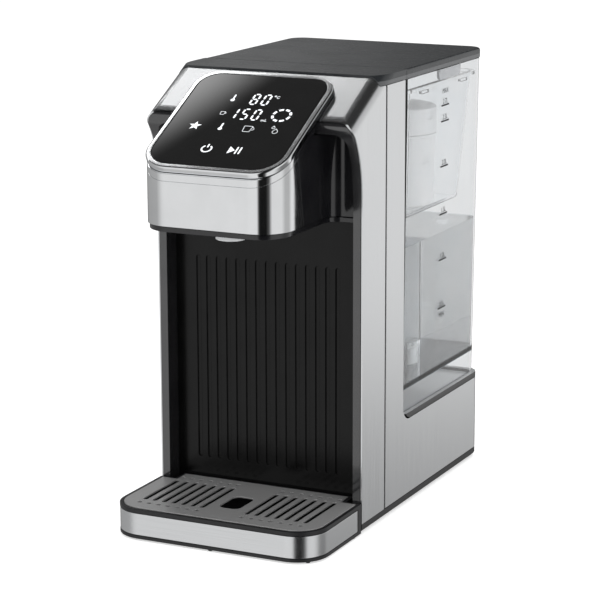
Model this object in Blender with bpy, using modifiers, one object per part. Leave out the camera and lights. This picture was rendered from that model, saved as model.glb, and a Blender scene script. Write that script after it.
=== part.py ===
"""Instant hot water dispenser: a slim steel tower with a touch display head over a cup niche,
a pull-out drip tray in front and a clear lift-off water tank at the rear.

Metres, +Z up, the front faces -Y. The origin is on the table under the middle of the outer box.
"""

import math

import bmesh
import bpy
from mathutils import Matrix, Vector

# Overall size
HEIGHT = 0.310
WIDTH = 0.155
BODY_DEPTH = 0.218
TRAY_REACH = 0.075

# Shared clearances and drawing values
CLEAR = 0.0003
OVERRUN = 0.010
WELD = 0.00001
CORNER_STEPS = 5
SMALL_STEPS = 3
ROUND_SIDES = 20
SMALL_SIDES = 12
SMOOTH_ANGLE = math.radians(32)
FLAT_ANGLE = math.radians(0.5)

# Steel casing
PANEL = 0.0010
REAR_CORNER = 0.012
EDGE_ROUND = 0.010
SHELL_SEAM = 0.0383
REAR_LAP = 0.0175
CASE_BOTTOM = 0.0071

# Front profile of the casing, from the body's front plane
FRONT_SET = 0.0010
CURVE_DROP = 0.0546
NOSE_REACH = 0.0178
NOSE_DROP = 0.0274
DISPLAY_TILT = math.radians(28.0)
CURVE_STEPS = 8
CURVE_LOW_SHARES = (0.0, 0.50)
CURVE_HIGH_SHARES = (0.37, 0.80)
HOUSING_PROUD = 0.0004

# Covers on top
COVER_THICK = 0.0067
COVER_FRONT = 0.0312
LID_SEAM = 0.0730
COVER_BEVEL = 0.0018
COVER_RECESS = 0.0035
COVER_RIM = 0.0080

# Base pan and feet
BASE_LIFT = 0.0020
BASE_FLOOR = 0.0030
BASE_RIM = 0.0024
BASE_UPSTAND = 0.0120
BASE_CHAMFER = 0.0012
FOOT_RADIUS = 0.0080
FOOT_POCKET = 0.0018
FOOT_INSET_X = 0.0180
FOOT_INSET_FRONT = 0.0420
FOOT_INSET_REAR = 0.0220
FOOT_BEVEL = 0.0006

# Cup niche
NICHE_JAMB = 0.0068
NICHE_DEPTH = 0.0140
NICHE_RAIL = 0.0066
NICHE_CORNER = 0.0090
NICHE_BACK = 0.0025
RIB_MARGIN = 0.0165
RIB_PITCH = 0.0076
RIB_WIDTH = 0.0030
RIB_DEPTH = 0.0012
RIB_BOTTOM = 0.0360
RIB_TOP_GAP = 0.0373

# Dispensing head
HEAD_SIDE_GAP = 0.0187
HEAD_CORNER = 0.0220
HEAD_SET = 0.0008
HEAD_DROP = 0.0643
HEAD_WALL = 0.0020
HEAD_END_LOW = 0.0360
HEAD_END_HIGH = 0.0445
HEAD_BASE_THICK = 0.0040
HEAD_BASE_INSET = 0.0012
NECK_FLARE = 0.0110
NECK_WING = 0.0070
NECK_RAKE = 0.0004
NECK_WALL = 0.0025
NECK_TOP_GAP = 0.0012
NECK_STEP_GAP = 0.0008

# Display
DISPLAY_RISE = 0.0050
DISPLAY_BACK = 0.0220
FRAME_THICK = 0.0043
FRAME_RIM = 0.0038
FRAME_LEDGE = 0.0022
FRAME_REAR_CORNER = 0.0180
FRAME_BEVEL = 0.0014
GLASS_THICK = 0.0014
GLASS_SINK = 0.0002
BOARD_THICK = 0.0014
BOARD_GAP = 0.0003

# Outlet
NOZZLE_RADIUS = 0.0105
NOZZLE_BORE = 0.0040
NOZZLE_SET = 0.0385
NOZZLE_DROP = 0.0080
NOZZLE_FLANGE = 0.0135
NOZZLE_FLANGE_THICK = 0.0020
NOZZLE_STEM = 0.0060
NOZZLE_STEM_LENGTH = 0.0090
SEAL_WIDTH = 0.0022
SEAL_THICK = 0.0016

# Drip tray
TRAY_CORNER = 0.0225
TRAY_LIFT = 0.0013
TRAY_TOP = 0.0222
TRAY_RIM = 0.0026
TRAY_FLOOR = 0.0022
TONGUE_GAP = 0.0047
TRAY_GAP = 0.0006
TRAY_LEDGE = 0.0022
TRAY_BEVEL = 0.0008
BAND_BOTTOM = 0.0040
BAND_TOP = 0.0190
BAND_THICK = 0.0008
BAND_END = 0.0055
BAND_INSET = 0.0002
NUB_RADIUS = 0.0016
NUB_INSET = 0.0023
NUB_REAR = 0.0095

# Drip grid
GRID_THICK = 0.0012
GRID_PROUD = 0.0004
GRID_PITCH = 0.0075
GRID_FIRST = 0.0169
GRID_EDGE = 0.0150
SLOT_WIDTH = 0.0026
SLOT_FRONT_GAP = 0.0215
SLOT_REAR = 0.0090
DOT_RADIUS = 0.0014
DOT_FRONT_GAP = 0.0150
DOT_REAR = 0.0025
FINGER_WIDTH = 0.0155
FINGER_LENGTH = 0.0270
FINGER_SET = 0.0340
FINGER_CORNER = 0.0050

# Tank bay and dock
LEFT_BAY = 0.0352
BAY_WALL = 0.0020
DOCK_TOP = 0.0665
WINDOW_BOTTOM = 0.0620
WINDOW_CORNER = 0.0110
DOCK_RIM = 0.0060
DOCK_BASIN = 0.0022
SOCKET_RADIUS = 0.0130
SOCKET_FLANGE = 0.0160
SOCKET_BORE = 0.0085
SOCKET_HEIGHT = 0.0120
SOCKET_PIN = 0.0016
SOCKET_SPOKE = 0.0024
SOCKET_FLOOR = 0.0020
SOCKET_TAIL = 0.0045
SOCKET_TAIL_BORE = 0.0030
SOCKET_TAIL_LENGTH = 0.0140
DOCK_SEAL_RADIUS = 0.0110
DOCK_SEAL_THICK = 0.0018

# Water tank
TANK_WALL = 0.0024
TANK_FLOOR = 0.0830
TANK_FLOOR_THICK = 0.0030
TANK_GAP = 0.0006
TANK_CORNER = 0.0110
TANK_FRONT_CORNER = 0.0030
TANK_DRAFT = 0.0020

# Tank valve
VALVE_RADIUS = 0.0100
VALVE_FLANGE = 0.0140
VALVE_FLANGE_THICK = 0.0020
VALVE_TOP = 0.0120
VALVE_SPIGOT = 0.0070
VALVE_WALL = 0.0015
VALVE_DROP_GAP = 0.0020
VALVE_SEAL_THICK = 0.0012
VALVE_BORE = 0.0062
VALVE_SEAT = 0.0034
VALVE_SEAT_THICK = 0.0040
VALVE_LIP = 0.0040
VALVE_LIP_THICK = 0.0016
PLUNGER_STEM = 0.0022
PLUNGER_HEAD = 0.0052
PLUNGER_HEAD_THICK = 0.0022
PLUNGER_FOOT = 0.0012
PLUNGER_GUIDE = 0.0010
SPRING_RADIUS = 0.0044
SPRING_WIRE = 0.0004
SPRING_TURNS = 4
SPRING_POINTS = 9

# Hopper and filter
HOPPER_WALL = 0.0018
HOPPER_DEPTH = 0.0930
HOPPER_RIM = 0.0024
HOPPER_LIP = 0.0022
HOPPER_DROP = 0.0090
HOPPER_DRAFT_X = 0.0060
HOPPER_DRAFT_Y = 0.0120
HOPPER_GAP = 0.0008
HOPPER_CORNER = 0.0100
LEDGE_THICK = 0.0020
LEDGE_LENGTH = 0.0120
LEDGE_SHARES = (0.25, 0.75)
FILTER_RADIUS = 0.0280
FILTER_LENGTH = 0.0740
FILTER_CAP = 0.0220
FILTER_SIDE = 0.0409
FILTER_SET = 0.0025
FILTER_DRAFT = 0.0020
FILTER_DOME = 0.0040
FILTER_SPIGOT = 0.0080
FILTER_SPIGOT_LENGTH = 0.0050
TAB_WIDTH = 0.0400
TAB_DROP = 0.0085
TAB_THICK = 0.0020
TAB_CORNER = 0.0040
TAB_REAR = 0.0620

# Pump, heater and boards
PUMP_RADIUS = 0.0190
PUMP_LENGTH = 0.0300
PUMP_SIDE = 0.0312
PUMP_Y = 0.1100
PUMP_SPIGOT = 0.0040
PUMP_SPIGOT_LENGTH = 0.0080
MOTOR_RADIUS = 0.0150
MOTOR_LENGTH = 0.0340
CRADLE_WALL = 0.0030
CRADLE_LENGTH = 0.0400
HEATER_RADIUS = 0.0190
HEATER_TOP_GAP = 0.0800
HEATER_LOW = 0.0950
HEATER_X = 0.0250
HEATER_Y = 0.0460
HEATER_SPIGOT = 0.0050
HEATER_SPIGOT_LENGTH = 0.0080
CLAMP_WALL = 0.0020
CLAMP_WIDTH = 0.0120
CLAMP_SHARES = (0.2, 0.8)
THERMOSTAT_RADIUS = 0.0070
THERMOSTAT_THICK = 0.0060
HOSE_RADIUS = 0.0042
HOSE_HOLE = 0.0070
HOSE_STEPS = 4
BOARD_LOW = 0.0900
BOARD_TOP_GAP = 0.0800
BOARD_FRONT = 0.0900
BOARD_REAR_GAP = 0.0280
BOARD_SHEET = 0.0016
BOARD_STANDOFF = 0.0060
BOARD_PART_DEPTH = 0.0120
BOARD_PART_SHARES = ((0.10, 0.12, 0.30, 0.40), (0.38, 0.20, 0.22, 0.25), (0.66, 0.12, 0.22, 0.55))
PEG_RADIUS = 0.0020
PEG_INSET = 0.0050
BRACKET_THICK = 0.0020
GLAND_RADIUS = 0.0075
GLAND_FLANGE = 0.0110
GLAND_FLANGE_THICK = 0.0025
GLAND_BORE = 0.0038
GLAND_LENGTH = 0.0160
GLAND_TAIL = 0.0060
GLAND_SIDE = 0.0475
GLAND_HEIGHT = 0.0320

# Rear panel
REAR_THICK = 0.0020
REAR_SET = 0.0018
VENT_COUNT = 8
VENT_PITCH = 0.0080
VENT_WIDTH = 0.0030
VENT_LENGTH = 0.0120
VENT_LOW = 0.1200
VENT_SIDE = 0.0087
SCREW_RADIUS = 0.0028
SCREW_HEAD = 0.0014
SCREW_SHANK = 0.0014
SCREW_LENGTH = 0.0016
SCREW_INSET = 0.0060

# Planes worked out from the sizes above
TOTAL_DEPTH = BODY_DEPTH + TRAY_REACH
FRONT = TRAY_REACH - TOTAL_DEPTH / 2
REAR = TOTAL_DEPTH / 2
TRAY_FRONT = -TOTAL_DEPTH / 2
HALF = WIDTH / 2
INNER = HALF - PANEL - CLEAR
NICHE_HALF = HALF - NICHE_JAMB
HEAD_HALF = NICHE_HALF - HEAD_SIDE_GAP
TONGUE_HALF = NICHE_HALF - TONGUE_GAP
BAY_LEFT = HALF - LEFT_BAY
NOSE_HEIGHT = HEIGHT - NOSE_DROP
CURVE_START = NOSE_HEIGHT - CURVE_DROP
NICHE_TOP = NOSE_HEIGHT - NICHE_RAIL
HEAD_BOTTOM = NOSE_HEIGHT - HEAD_DROP
RIB_TOP = HEAD_BOTTOM - RIB_TOP_GAP
SLOT_FRONT = TRAY_REACH - SLOT_FRONT_GAP
DOT_FRONT = TRAY_REACH - DOT_FRONT_GAP
HEATER_LENGTH = HEIGHT - HEATER_TOP_GAP - HEATER_LOW
BOARD_HIGH = HEIGHT - BOARD_TOP_GAP
COVER_BOTTOM = HEIGHT - COVER_THICK
CASE_TOP = COVER_BOTTOM - CLEAR
TILT_RISE = math.tan(DISPLAY_TILT)
TILT_REACH = 1 / math.cos(DISPLAY_TILT)


def from_front(distance):
    """A place measured back from the body's front plane."""
    return FRONT + distance


def slope_height(y):
    """Height of the casing's sloped front face at a depth."""
    return NOSE_HEIGHT + (y - from_front(-NOSE_REACH)) * TILT_RISE


def display_height(y):
    """Height of the display's top plane at a depth."""
    return slope_height(y) + DISPLAY_RISE * TILT_REACH


# Scene set-up
for stale in list(bpy.data.objects):
    bpy.data.objects.remove(stale, do_unlink=True)

parts = bpy.data.collections.new("instant_hot_water_dispenser")
cutters = bpy.data.collections.new("cutters")
bpy.context.scene.collection.children.link(parts)
bpy.context.scene.collection.children.link(cutters)


def finish(name, colour, roughness, metallic=0.0, alpha=1.0):
    """A plain surface finish."""
    made = bpy.data.materials.new(name)
    made.use_nodes = True
    shader = made.node_tree.nodes["Principled BSDF"]
    shader.inputs["Base Color"].default_value = (*colour, 1.0)
    shader.inputs["Roughness"].default_value = roughness
    shader.inputs["Metallic"].default_value = metallic
    shader.inputs["Alpha"].default_value = alpha
    made.diffuse_color = (*colour, alpha)
    return made


def add_object(name, mesh, surface=None):
    """Put a mesh in the parts collection, or with no surface among the cutters."""
    made = bpy.data.objects.new(name, mesh)
    if surface is None:
        cutters.objects.link(made)
        made.hide_render = True
        made.display_type = "WIRE"
    else:
        parts.objects.link(made)
        mesh.materials.clear()
        mesh.materials.append(surface)
    return made


def mesh_from(shape, name):
    """Close a bmesh into a mesh with outward faces."""
    bmesh.ops.recalc_face_normals(shape, faces=shape.faces)
    mesh = bpy.data.meshes.new(name)
    shape.to_mesh(mesh)
    shape.free()
    return mesh


def smooth(made):
    """Smooth shading with crisp edges."""
    made.data.shade_smooth()
    made.data.set_sharp_from_angle(angle=SMOOTH_ANGLE)
    return made


def block(name, low, high, surface=None):
    """A box between two corners."""
    low = Vector(low)
    high = Vector(high)
    shape = bmesh.new()
    bmesh.ops.create_cube(shape, size=1)
    bmesh.ops.scale(shape, vec=high - low, verts=shape.verts)
    made = add_object(name, mesh_from(shape, name), surface)
    made.location = (low + high) / 2
    return made


def round_edges(made, radius, steps, picked):
    """Round the edges that picked(start, end) accepts, in the object's own coordinates."""
    shape = bmesh.new()
    shape.from_mesh(made.data)
    bmesh.ops.dissolve_limit(shape, angle_limit=FLAT_ANGLE, verts=shape.verts, edges=shape.edges)
    edges = [edge for edge in shape.edges if picked(edge.verts[0].co, edge.verts[1].co)]
    bmesh.ops.bevel(shape, geom=edges, offset=radius, segments=steps, profile=0.5,
                    affect="EDGES", clamp_overlap=True)
    shape.to_mesh(made.data)
    shape.free()
    return made


def arc(centre, radius, start, end, steps):
    """Points on a round stretch between two angles in degrees."""
    points = []
    for step in range(steps + 1):
        angle = math.radians(start + (end - start) * step / steps)
        points.append((centre[0] + radius * math.cos(angle), centre[1] + radius * math.sin(angle)))
    return points


def rounded_outline(low, high, radii, steps=CORNER_STEPS):
    """A rectangle's outline with its own radius at each corner, from front left round to rear left."""
    corners = (
        ((low[0], low[1]), (1, 1), 180),
        ((high[0], low[1]), (-1, 1), 270),
        ((high[0], high[1]), (-1, -1), 0),
        ((low[0], high[1]), (1, -1), 90),
    )
    points = []
    for (corner, inward, start), radius in zip(corners, radii):
        if radius == 0:
            points.append(corner)
            continue
        centre = (corner[0] + inward[0] * radius, corner[1] + inward[1] * radius)
        points.extend(arc(centre, radius, start, start + 90, steps))
    return points


def capsule(centre, width, length, steps):
    """A slot's outline that runs along the second axis with round ends."""
    reach = length / 2 - width / 2
    top = arc((centre[0], centre[1] + reach), width / 2, 0, 180, steps)
    bottom = arc((centre[0], centre[1] - reach), width / 2, 180, 360, steps)
    return top + bottom


PLANES = {
    "XY": Matrix.Identity(4),
    "XZ": Matrix(((1, 0, 0, 0), (0, 0, -1, 0), (0, 1, 0, 0), (0, 0, 0, 1))),
    "YZ": Matrix(((0, 0, 1, 0), (1, 0, 0, 0), (0, 1, 0, 0), (0, 0, 0, 1))),
}


LYING = {
    None: (0, 0, 0),
    "X": (0, math.pi / 2, 0),
    "Y": (math.pi / 2, 0, 0),
}


def flat_solid(name, loops, low, high, plane, surface=None):
    """An outline, with any holes as further loops, made solid between two depths."""
    drawing = bpy.data.curves.new(name, "CURVE")
    drawing.dimensions = "2D"
    drawing.fill_mode = "BOTH"
    drawing.extrude = (high - low) / 2
    for loop in loops:
        spline = drawing.splines.new("POLY")
        spline.points.add(len(loop) - 1)
        for point, place in zip(spline.points, loop):
            point.co = (place[0], place[1], 0, 1)
        spline.use_cyclic_u = True
    sketch = bpy.data.objects.new(name + "_outline", drawing)
    parts.objects.link(sketch)
    bpy.context.view_layer.update()
    graph = bpy.context.evaluated_depsgraph_get()
    mesh = bpy.data.meshes.new_from_object(sketch.evaluated_get(graph))
    bpy.data.objects.remove(sketch, do_unlink=True)
    shape = bmesh.new()
    shape.from_mesh(mesh)
    bmesh.ops.remove_doubles(shape, verts=shape.verts, dist=WELD)
    middle = -(low + high) / 2 if plane == "XZ" else (low + high) / 2
    bmesh.ops.translate(shape, vec=(0, 0, middle), verts=shape.verts)
    bmesh.ops.transform(shape, matrix=PLANES[plane], verts=shape.verts)
    return add_object(name, mesh_from(shape, name), surface)


def ribbon(name, path, low, high, thickness, surface=None):
    """A wall that follows a path in plan, given its thickness by Solidify."""
    shape = bmesh.new()
    bottom = [shape.verts.new((x, y, low)) for x, y in path]
    top = [shape.verts.new((x, y, high)) for x, y in path]
    for index in range(len(path) - 1):
        following = index + 1
        shape.faces.new((bottom[index], bottom[following], top[following], top[index]))
    mesh = bpy.data.meshes.new(name)
    shape.to_mesh(mesh)
    shape.free()
    made = add_object(name, mesh, surface)
    wall = made.modifiers.new("wall", "SOLIDIFY")
    wall.thickness = thickness
    wall.offset = -1.0
    wall.use_even_offset = True
    return made


def turned(name, profile, location, surface=None, steps=ROUND_SIDES, lying=None):
    """A shape turned about its own Z axis from a profile that runs top to bottom outside."""
    mesh = bpy.data.meshes.new(name)
    edges = [(index, index + 1) for index in range(len(profile) - 1)]
    if profile[0][0] > 0:
        edges.append((len(profile) - 1, 0))
    mesh.from_pydata([(x, 0, z) for x, z in profile], edges, [])
    made = add_object(name, mesh, surface)
    made.location = location
    made.rotation_euler = LYING[lying]
    lathe = made.modifiers.new("turn", "SCREW")
    lathe.steps = steps
    lathe.render_steps = steps
    lathe.use_merge_vertices = True
    lathe.merge_threshold = WELD
    lathe.use_smooth_shade = True
    return made


def rod(name, radius, low, high, place, surface=None, lying=None, sides=ROUND_SIDES):
    """A cylinder between two depths along its own axis."""
    shape = bmesh.new()
    bmesh.ops.create_cone(shape, cap_ends=True, segments=sides, radius1=radius, radius2=radius,
                          depth=high - low)
    bmesh.ops.translate(shape, vec=(0, 0, (low + high) / 2), verts=shape.verts)
    made = add_object(name, mesh_from(shape, name), surface)
    made.location = place
    made.rotation_euler = LYING[lying]
    return smooth(made)


def ring(name, inner, outer, low, high, place, surface=None):
    """A flat washer between two heights."""
    profile = [(outer, high), (outer, low), (inner, low), (inner, high)]
    return turned(name, profile, place, surface)


def loft(name, low_outline, high_outline, low, high, surface=None):
    """A solid between two outlines of as many points, for walls that lean."""
    shape = bmesh.new()
    bottom = [shape.verts.new((x, y, low)) for x, y in low_outline]
    top = [shape.verts.new((x, y, high)) for x, y in high_outline]
    shape.faces.new(bottom)
    shape.faces.new(top)
    for index in range(len(bottom)):
        following = (index + 1) % len(bottom)
        shape.faces.new((bottom[index], bottom[following], top[following], top[index]))
    return add_object(name, mesh_from(shape, name), surface)


def empty(name, place):
    """An empty that carries a moving body."""
    made = bpy.data.objects.new(name, None)
    parts.objects.link(made)
    made.location = place
    return made


def carry(holder, pieces):
    """Parent pieces to their body's empty without moving them."""
    bpy.context.view_layer.update()
    for piece in pieces:
        piece.parent = holder
        piece.matrix_parent_inverse = holder.matrix_world.inverted()


def tube(name, points, radius, sides, surface):
    """A round wire or tube along a row of points."""
    line = bpy.data.curves.new(name, "CURVE")
    line.dimensions = "3D"
    line.bevel_depth = radius
    line.bevel_resolution = sides
    line.use_fill_caps = True
    spline = line.splines.new("POLY")
    spline.points.add(len(points) - 1)
    for point, place in zip(spline.points, points):
        point.co = (*place, 1)
    made = bpy.data.objects.new(name, line)
    parts.objects.link(made)
    line.materials.append(surface)
    return made


def hose(name, start, leaving, between, end, arriving):
    """A silicone hose on one smooth curve that leaves and arrives straight."""
    lead = 2 * HOSE_RADIUS
    route = [Vector(start), Vector(start) + lead * Vector(leaving), *between,
             Vector(end) - lead * Vector(arriving), Vector(end)]
    points = [route[0]]
    for index in range(1, len(route) - 2):
        before, start, end, after = (Vector(place) for place in route[index - 1:index + 3])
        for step in range(HOSE_STEPS):
            share = step / HOSE_STEPS
            points.append(0.5 * (2 * start + (end - before) * share
                                 + (2 * before - 5 * start + 4 * end - after) * share ** 2
                                 + (3 * start - before - 3 * end + after) * share ** 3))
    points.extend(route[-2:])
    return tube(name, points, HOSE_RADIUS, 2, silicone)


def combine(made, tool, operation):
    """Apply one Boolean with a tool that stays among the cutters."""
    if tool.name not in cutters.objects:
        parts.objects.unlink(tool)
        cutters.objects.link(tool)
        tool.hide_render = True
        tool.display_type = "WIRE"
    step = made.modifiers.new(tool.name, "BOOLEAN")
    step.operation = operation
    step.solver = "EXACT"
    step.object = tool
    return made


def cut(made, tool):
    return combine(made, tool, "DIFFERENCE")


def join(made, tool):
    return combine(made, tool, "UNION")


def keep_common(made, tool):
    return combine(made, tool, "INTERSECT")


# Finishes
steel = finish("brushed_steel", (0.72, 0.72, 0.73), 0.28, 1.0)
mirror_steel = finish("polished_steel", (0.82, 0.82, 0.84), 0.10, 1.0)
black_gloss = finish("black_gloss_plastic", (0.012, 0.012, 0.013), 0.12)
black_satin = finish("black_satin_plastic", (0.020, 0.020, 0.022), 0.42)
lid_grey = finish("graphite_plastic", (0.070, 0.080, 0.085), 0.38)
pale_grey = finish("pale_grey_plastic", (0.55, 0.56, 0.57), 0.45)
white_plastic = finish("white_plastic", (0.85, 0.86, 0.86), 0.45)
clear_plastic = finish("clear_plastic", (0.92, 0.95, 0.96), 0.05, 0.0, 0.35)
smoked_tab = finish("smoked_plastic", (0.45, 0.46, 0.47), 0.30, 0.0, 0.80)
dark_glass = finish("display_glass", (0.010, 0.010, 0.012), 0.05)
rubber = finish("black_rubber", (0.018, 0.018, 0.018), 0.85)
silicone = finish("silicone_hose", (0.70, 0.68, 0.64), 0.60)
board_green = finish("circuit_board", (0.030, 0.180, 0.070), 0.50)
heater_metal = finish("heater_jacket", (0.62, 0.63, 0.65), 0.35, 1.0)
zinc = finish("zinc_plated", (0.60, 0.60, 0.58), 0.40, 1.0)

# Inner faces that several pieces share
BASE_TOP = BASE_LIFT + BASE_FLOOR
BACK_FACE = from_front(NICHE_DEPTH)
BACK_REAR = BACK_FACE + NICHE_BACK
SEAM_Y = from_front(LID_SEAM)
BAY_FRONT = SEAM_Y - CLEAR
REAR_FACE = REAR - REAR_SET
REAR_INSIDE = REAR_FACE - REAR_THICK
WALL_TOP = CASE_TOP - CLEAR
HEAD_FRONT = TRAY_FRONT + HEAD_SET
HEAD_FLOOR = HEAD_BOTTOM - HEAD_BASE_THICK
NOZZLE_PLACE = (0, from_front(-NOZZLE_SET), HEAD_BOTTOM)
HOSE_HEIGHT = (HEAD_BOTTOM + NICHE_TOP) / 2
UPSTAND_TOP = CASE_BOTTOM + BASE_UPSTAND
TANK_LEFT = -BAY_LEFT + TANK_GAP
TANK_RIGHT = HALF - TANK_GAP
TANK_FRONT = SEAM_Y + TANK_GAP
TANK_REAR = REAR - TANK_GAP
TANK_LOW = DOCK_TOP + CLEAR
FUNNEL_TOP = WALL_TOP - HOPPER_DROP
FUNNEL_LOW = FUNNEL_TOP - HOPPER_DEPTH
TANK_MIDDLE = ((TANK_LEFT + TANK_RIGHT) / 2, (TANK_FRONT + TANK_REAR) / 2)
VALVE_PLACE = (*TANK_MIDDLE, TANK_FLOOR)
FILTER_MIDDLE = (TANK_RIGHT - FILTER_SIDE, TANK_MIDDLE[1] + FILTER_SET)
SOCKET_LOW = DOCK_TOP - DOCK_BASIN + CLEAR
SOCKET_TOP = DOCK_TOP + SOCKET_HEIGHT
PUMP_X = INNER - PUMP_SIDE
PUMP_HEIGHT = BASE_TOP + CRADLE_WALL + PUMP_RADIUS + 2 * CLEAR
HEATER_PLACE = (HEATER_X, from_front(HEATER_Y), HEATER_LOW)


def front_profile(proud, lowered, rear, top_rear):
    """Side outline of the casing's front: upright, swept forward to the nose, then up the slope."""
    start = Vector((from_front(FRONT_SET - proud), CURVE_START))
    nose = Vector((from_front(-NOSE_REACH - proud), NOSE_HEIGHT - lowered * TILT_REACH))
    nose.y -= proud * TILT_RISE
    span = nose - start
    low = start + Vector((span.x * CURVE_LOW_SHARES[0], span.y * CURVE_LOW_SHARES[1]))
    high = start + Vector((span.x * CURVE_HIGH_SHARES[0], span.y * CURVE_HIGH_SHARES[1]))
    points = [(start.x, CASE_BOTTOM + CLEAR)]
    for step in range(CURVE_STEPS + 1):
        share = step / CURVE_STEPS
        rest = 1 - share
        point = (start * rest ** 3 + low * (3 * share * rest ** 2)
                 + high * (3 * share ** 2 * rest) + nose * share ** 3)
        points.append((point.x, point.y))
    points.append((top_rear[0], slope_height(top_rear[0]) - lowered * TILT_REACH))
    points.extend(top_rear[1:])
    points.append((rear, CASE_BOTTOM + CLEAR))
    return points


def hood(name, half, lowered):
    """A long tunnel laid under the sloped face, with that face's two edges rounded."""
    corner = EDGE_ROUND - lowered
    outline = rounded_outline((-half, -HEIGHT), (half, 0), (0, 0, corner, corner))
    made = flat_solid(name, [outline], -HEIGHT, HEIGHT, "XZ")
    made.location = (0, from_front(-NOSE_REACH), NOSE_HEIGHT - lowered * TILT_REACH)
    made.rotation_euler = (DISPLAY_TILT, 0, 0)
    return made


def make_front_shell():
    """Steel hood: both front corners of the body and the sloped face between them."""
    seam = from_front(SHELL_SEAM)
    edge = from_front(COVER_FRONT) - CLEAR
    outline = front_profile(0, 0, seam, [edge, (edge, CASE_TOP), (seam, CASE_TOP)])
    shell = flat_solid("front_shell", [outline], -HALF, HALF, "YZ", steel)
    keep_common(shell, hood("front_shell_outside", HALF, 0))
    cut(shell, hood("front_shell_inside", HALF - PANEL, PANEL))
    return smooth(shell)


def side_path(side):
    """Plan of a side panel from its front seam round the rear corner to the lap."""
    turn = arc((HALF - REAR_CORNER, REAR - REAR_CORNER), REAR_CORNER, 0, 90, CORNER_STEPS)
    path = [(HALF, from_front(SHELL_SEAM) + CLEAR), *turn, (HALF - REAR_LAP, REAR)]
    if side < 0:
        path = [(-x, y) for x, y in reversed(path)]
    return path


def window_outline(inset, top):
    """Side outline of the tank window, open above and to the rear."""
    low = (SEAM_Y + inset, WINDOW_BOTTOM + inset)
    return rounded_outline(low, (REAR + OVERRUN, top), (WINDOW_CORNER - inset, 0, 0, 0))


def make_side_panels():
    """The plain left panel and the right panel with the tank window."""
    low = CASE_BOTTOM + CLEAR
    ribbon("left_side_panel", side_path(-1), low, CASE_TOP, PANEL, steel)
    right = ribbon("right_side_panel", side_path(1), low, CASE_TOP, PANEL, steel)
    window = flat_solid("tank_window", [window_outline(0, HEIGHT + OVERRUN)], 0, HALF + OVERRUN, "YZ")
    cut(right, window)


def make_covers():
    """The fixed top cover in front of the lid and the cap over the left bay."""
    low = (-HALF, from_front(COVER_FRONT))
    outline = rounded_outline(low, (HALF, SEAM_Y - CLEAR), (0, 0, 0, 0))
    cover = flat_solid("top_cover", [outline], COVER_BOTTOM, HEIGHT, "XY", lid_grey)
    top = COVER_THICK / 2
    round_edges(cover, COVER_BEVEL, SMALL_STEPS,
                lambda start, end: min(start.z, end.z) > HEIGHT - top)
    raised = (HEIGHT - slope_height(from_front(COVER_FRONT))) / TILT_REACH
    keep_common(cover, hood("top_cover_outside", HALF, -raised))
    corner = REAR_CORNER - PANEL - CLEAR
    cap = rounded_outline((-INNER, BAY_FRONT + CLEAR),
                          (-BAY_LEFT - BAY_WALL - CLEAR, REAR_INSIDE - CLEAR), (0, 0, 0, corner))
    flat_solid("left_bay_cap", [cap], WALL_TOP - BAY_WALL, WALL_TOP, "XY", black_satin)


def make_base():
    """Base pan with its rim under the panels, an upstand inside them and four foot pockets."""
    front = from_front(FRONT_SET)
    plate = rounded_outline((-HALF, front), (HALF, REAR), (0, 0, REAR_CORNER, REAR_CORNER))
    pan = flat_solid("base_pan", [plate], BASE_LIFT, CASE_BOTTOM, "XY", black_satin)
    round_edges(pan, BASE_CHAMFER, 1, lambda start, end: max(start.z, end.z) < BASE_LIFT + WELD)
    corner = REAR_CORNER - PANEL - CLEAR
    wall_front = BACK_REAR + CLEAR
    inner_rear = REAR - PANEL - CLEAR
    wall = rounded_outline((-INNER, wall_front), (INNER, inner_rear), (0, 0, corner, corner))
    join(pan, flat_solid("base_upstand", [wall], BASE_LIFT + BASE_CHAMFER, UPSTAND_TOP, "XY"))
    pocket = rounded_outline((-INNER + BASE_RIM, wall_front + BASE_RIM),
                             (INNER - BASE_RIM, inner_rear - BASE_RIM),
                             (0, 0, corner - BASE_RIM, corner - BASE_RIM))
    cut(pan, flat_solid("base_pocket", [pocket], BASE_TOP, BASE_TOP + BASE_UPSTAND + OVERRUN, "XY"))
    reach = TONGUE_HALF + TRAY_GAP
    cut(pan, block("tray_bay", (-reach, front - OVERRUN, 0),
                   (reach, BACK_FACE - CLEAR, CASE_BOTTOM + OVERRUN)))
    places = []
    for y in (from_front(FOOT_INSET_FRONT), REAR - FOOT_INSET_REAR):
        for x in (-HALF + FOOT_INSET_X, HALF - FOOT_INSET_X):
            places.append((x, y))
    foot_top = BASE_LIFT + FOOT_POCKET
    for number, place in enumerate(places, 1):
        cut(pan, rod(f"foot_pocket_{number}", FOOT_RADIUS + CLEAR, -OVERRUN, foot_top, (*place, 0)))
        profile = [(0, foot_top - CLEAR), (FOOT_RADIUS, foot_top - CLEAR), (FOOT_RADIUS, FOOT_BEVEL),
                   (FOOT_RADIUS - FOOT_BEVEL, 0), (0, 0)]
        turned(f"foot_{number}", profile, (*place, 0), rubber)


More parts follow.
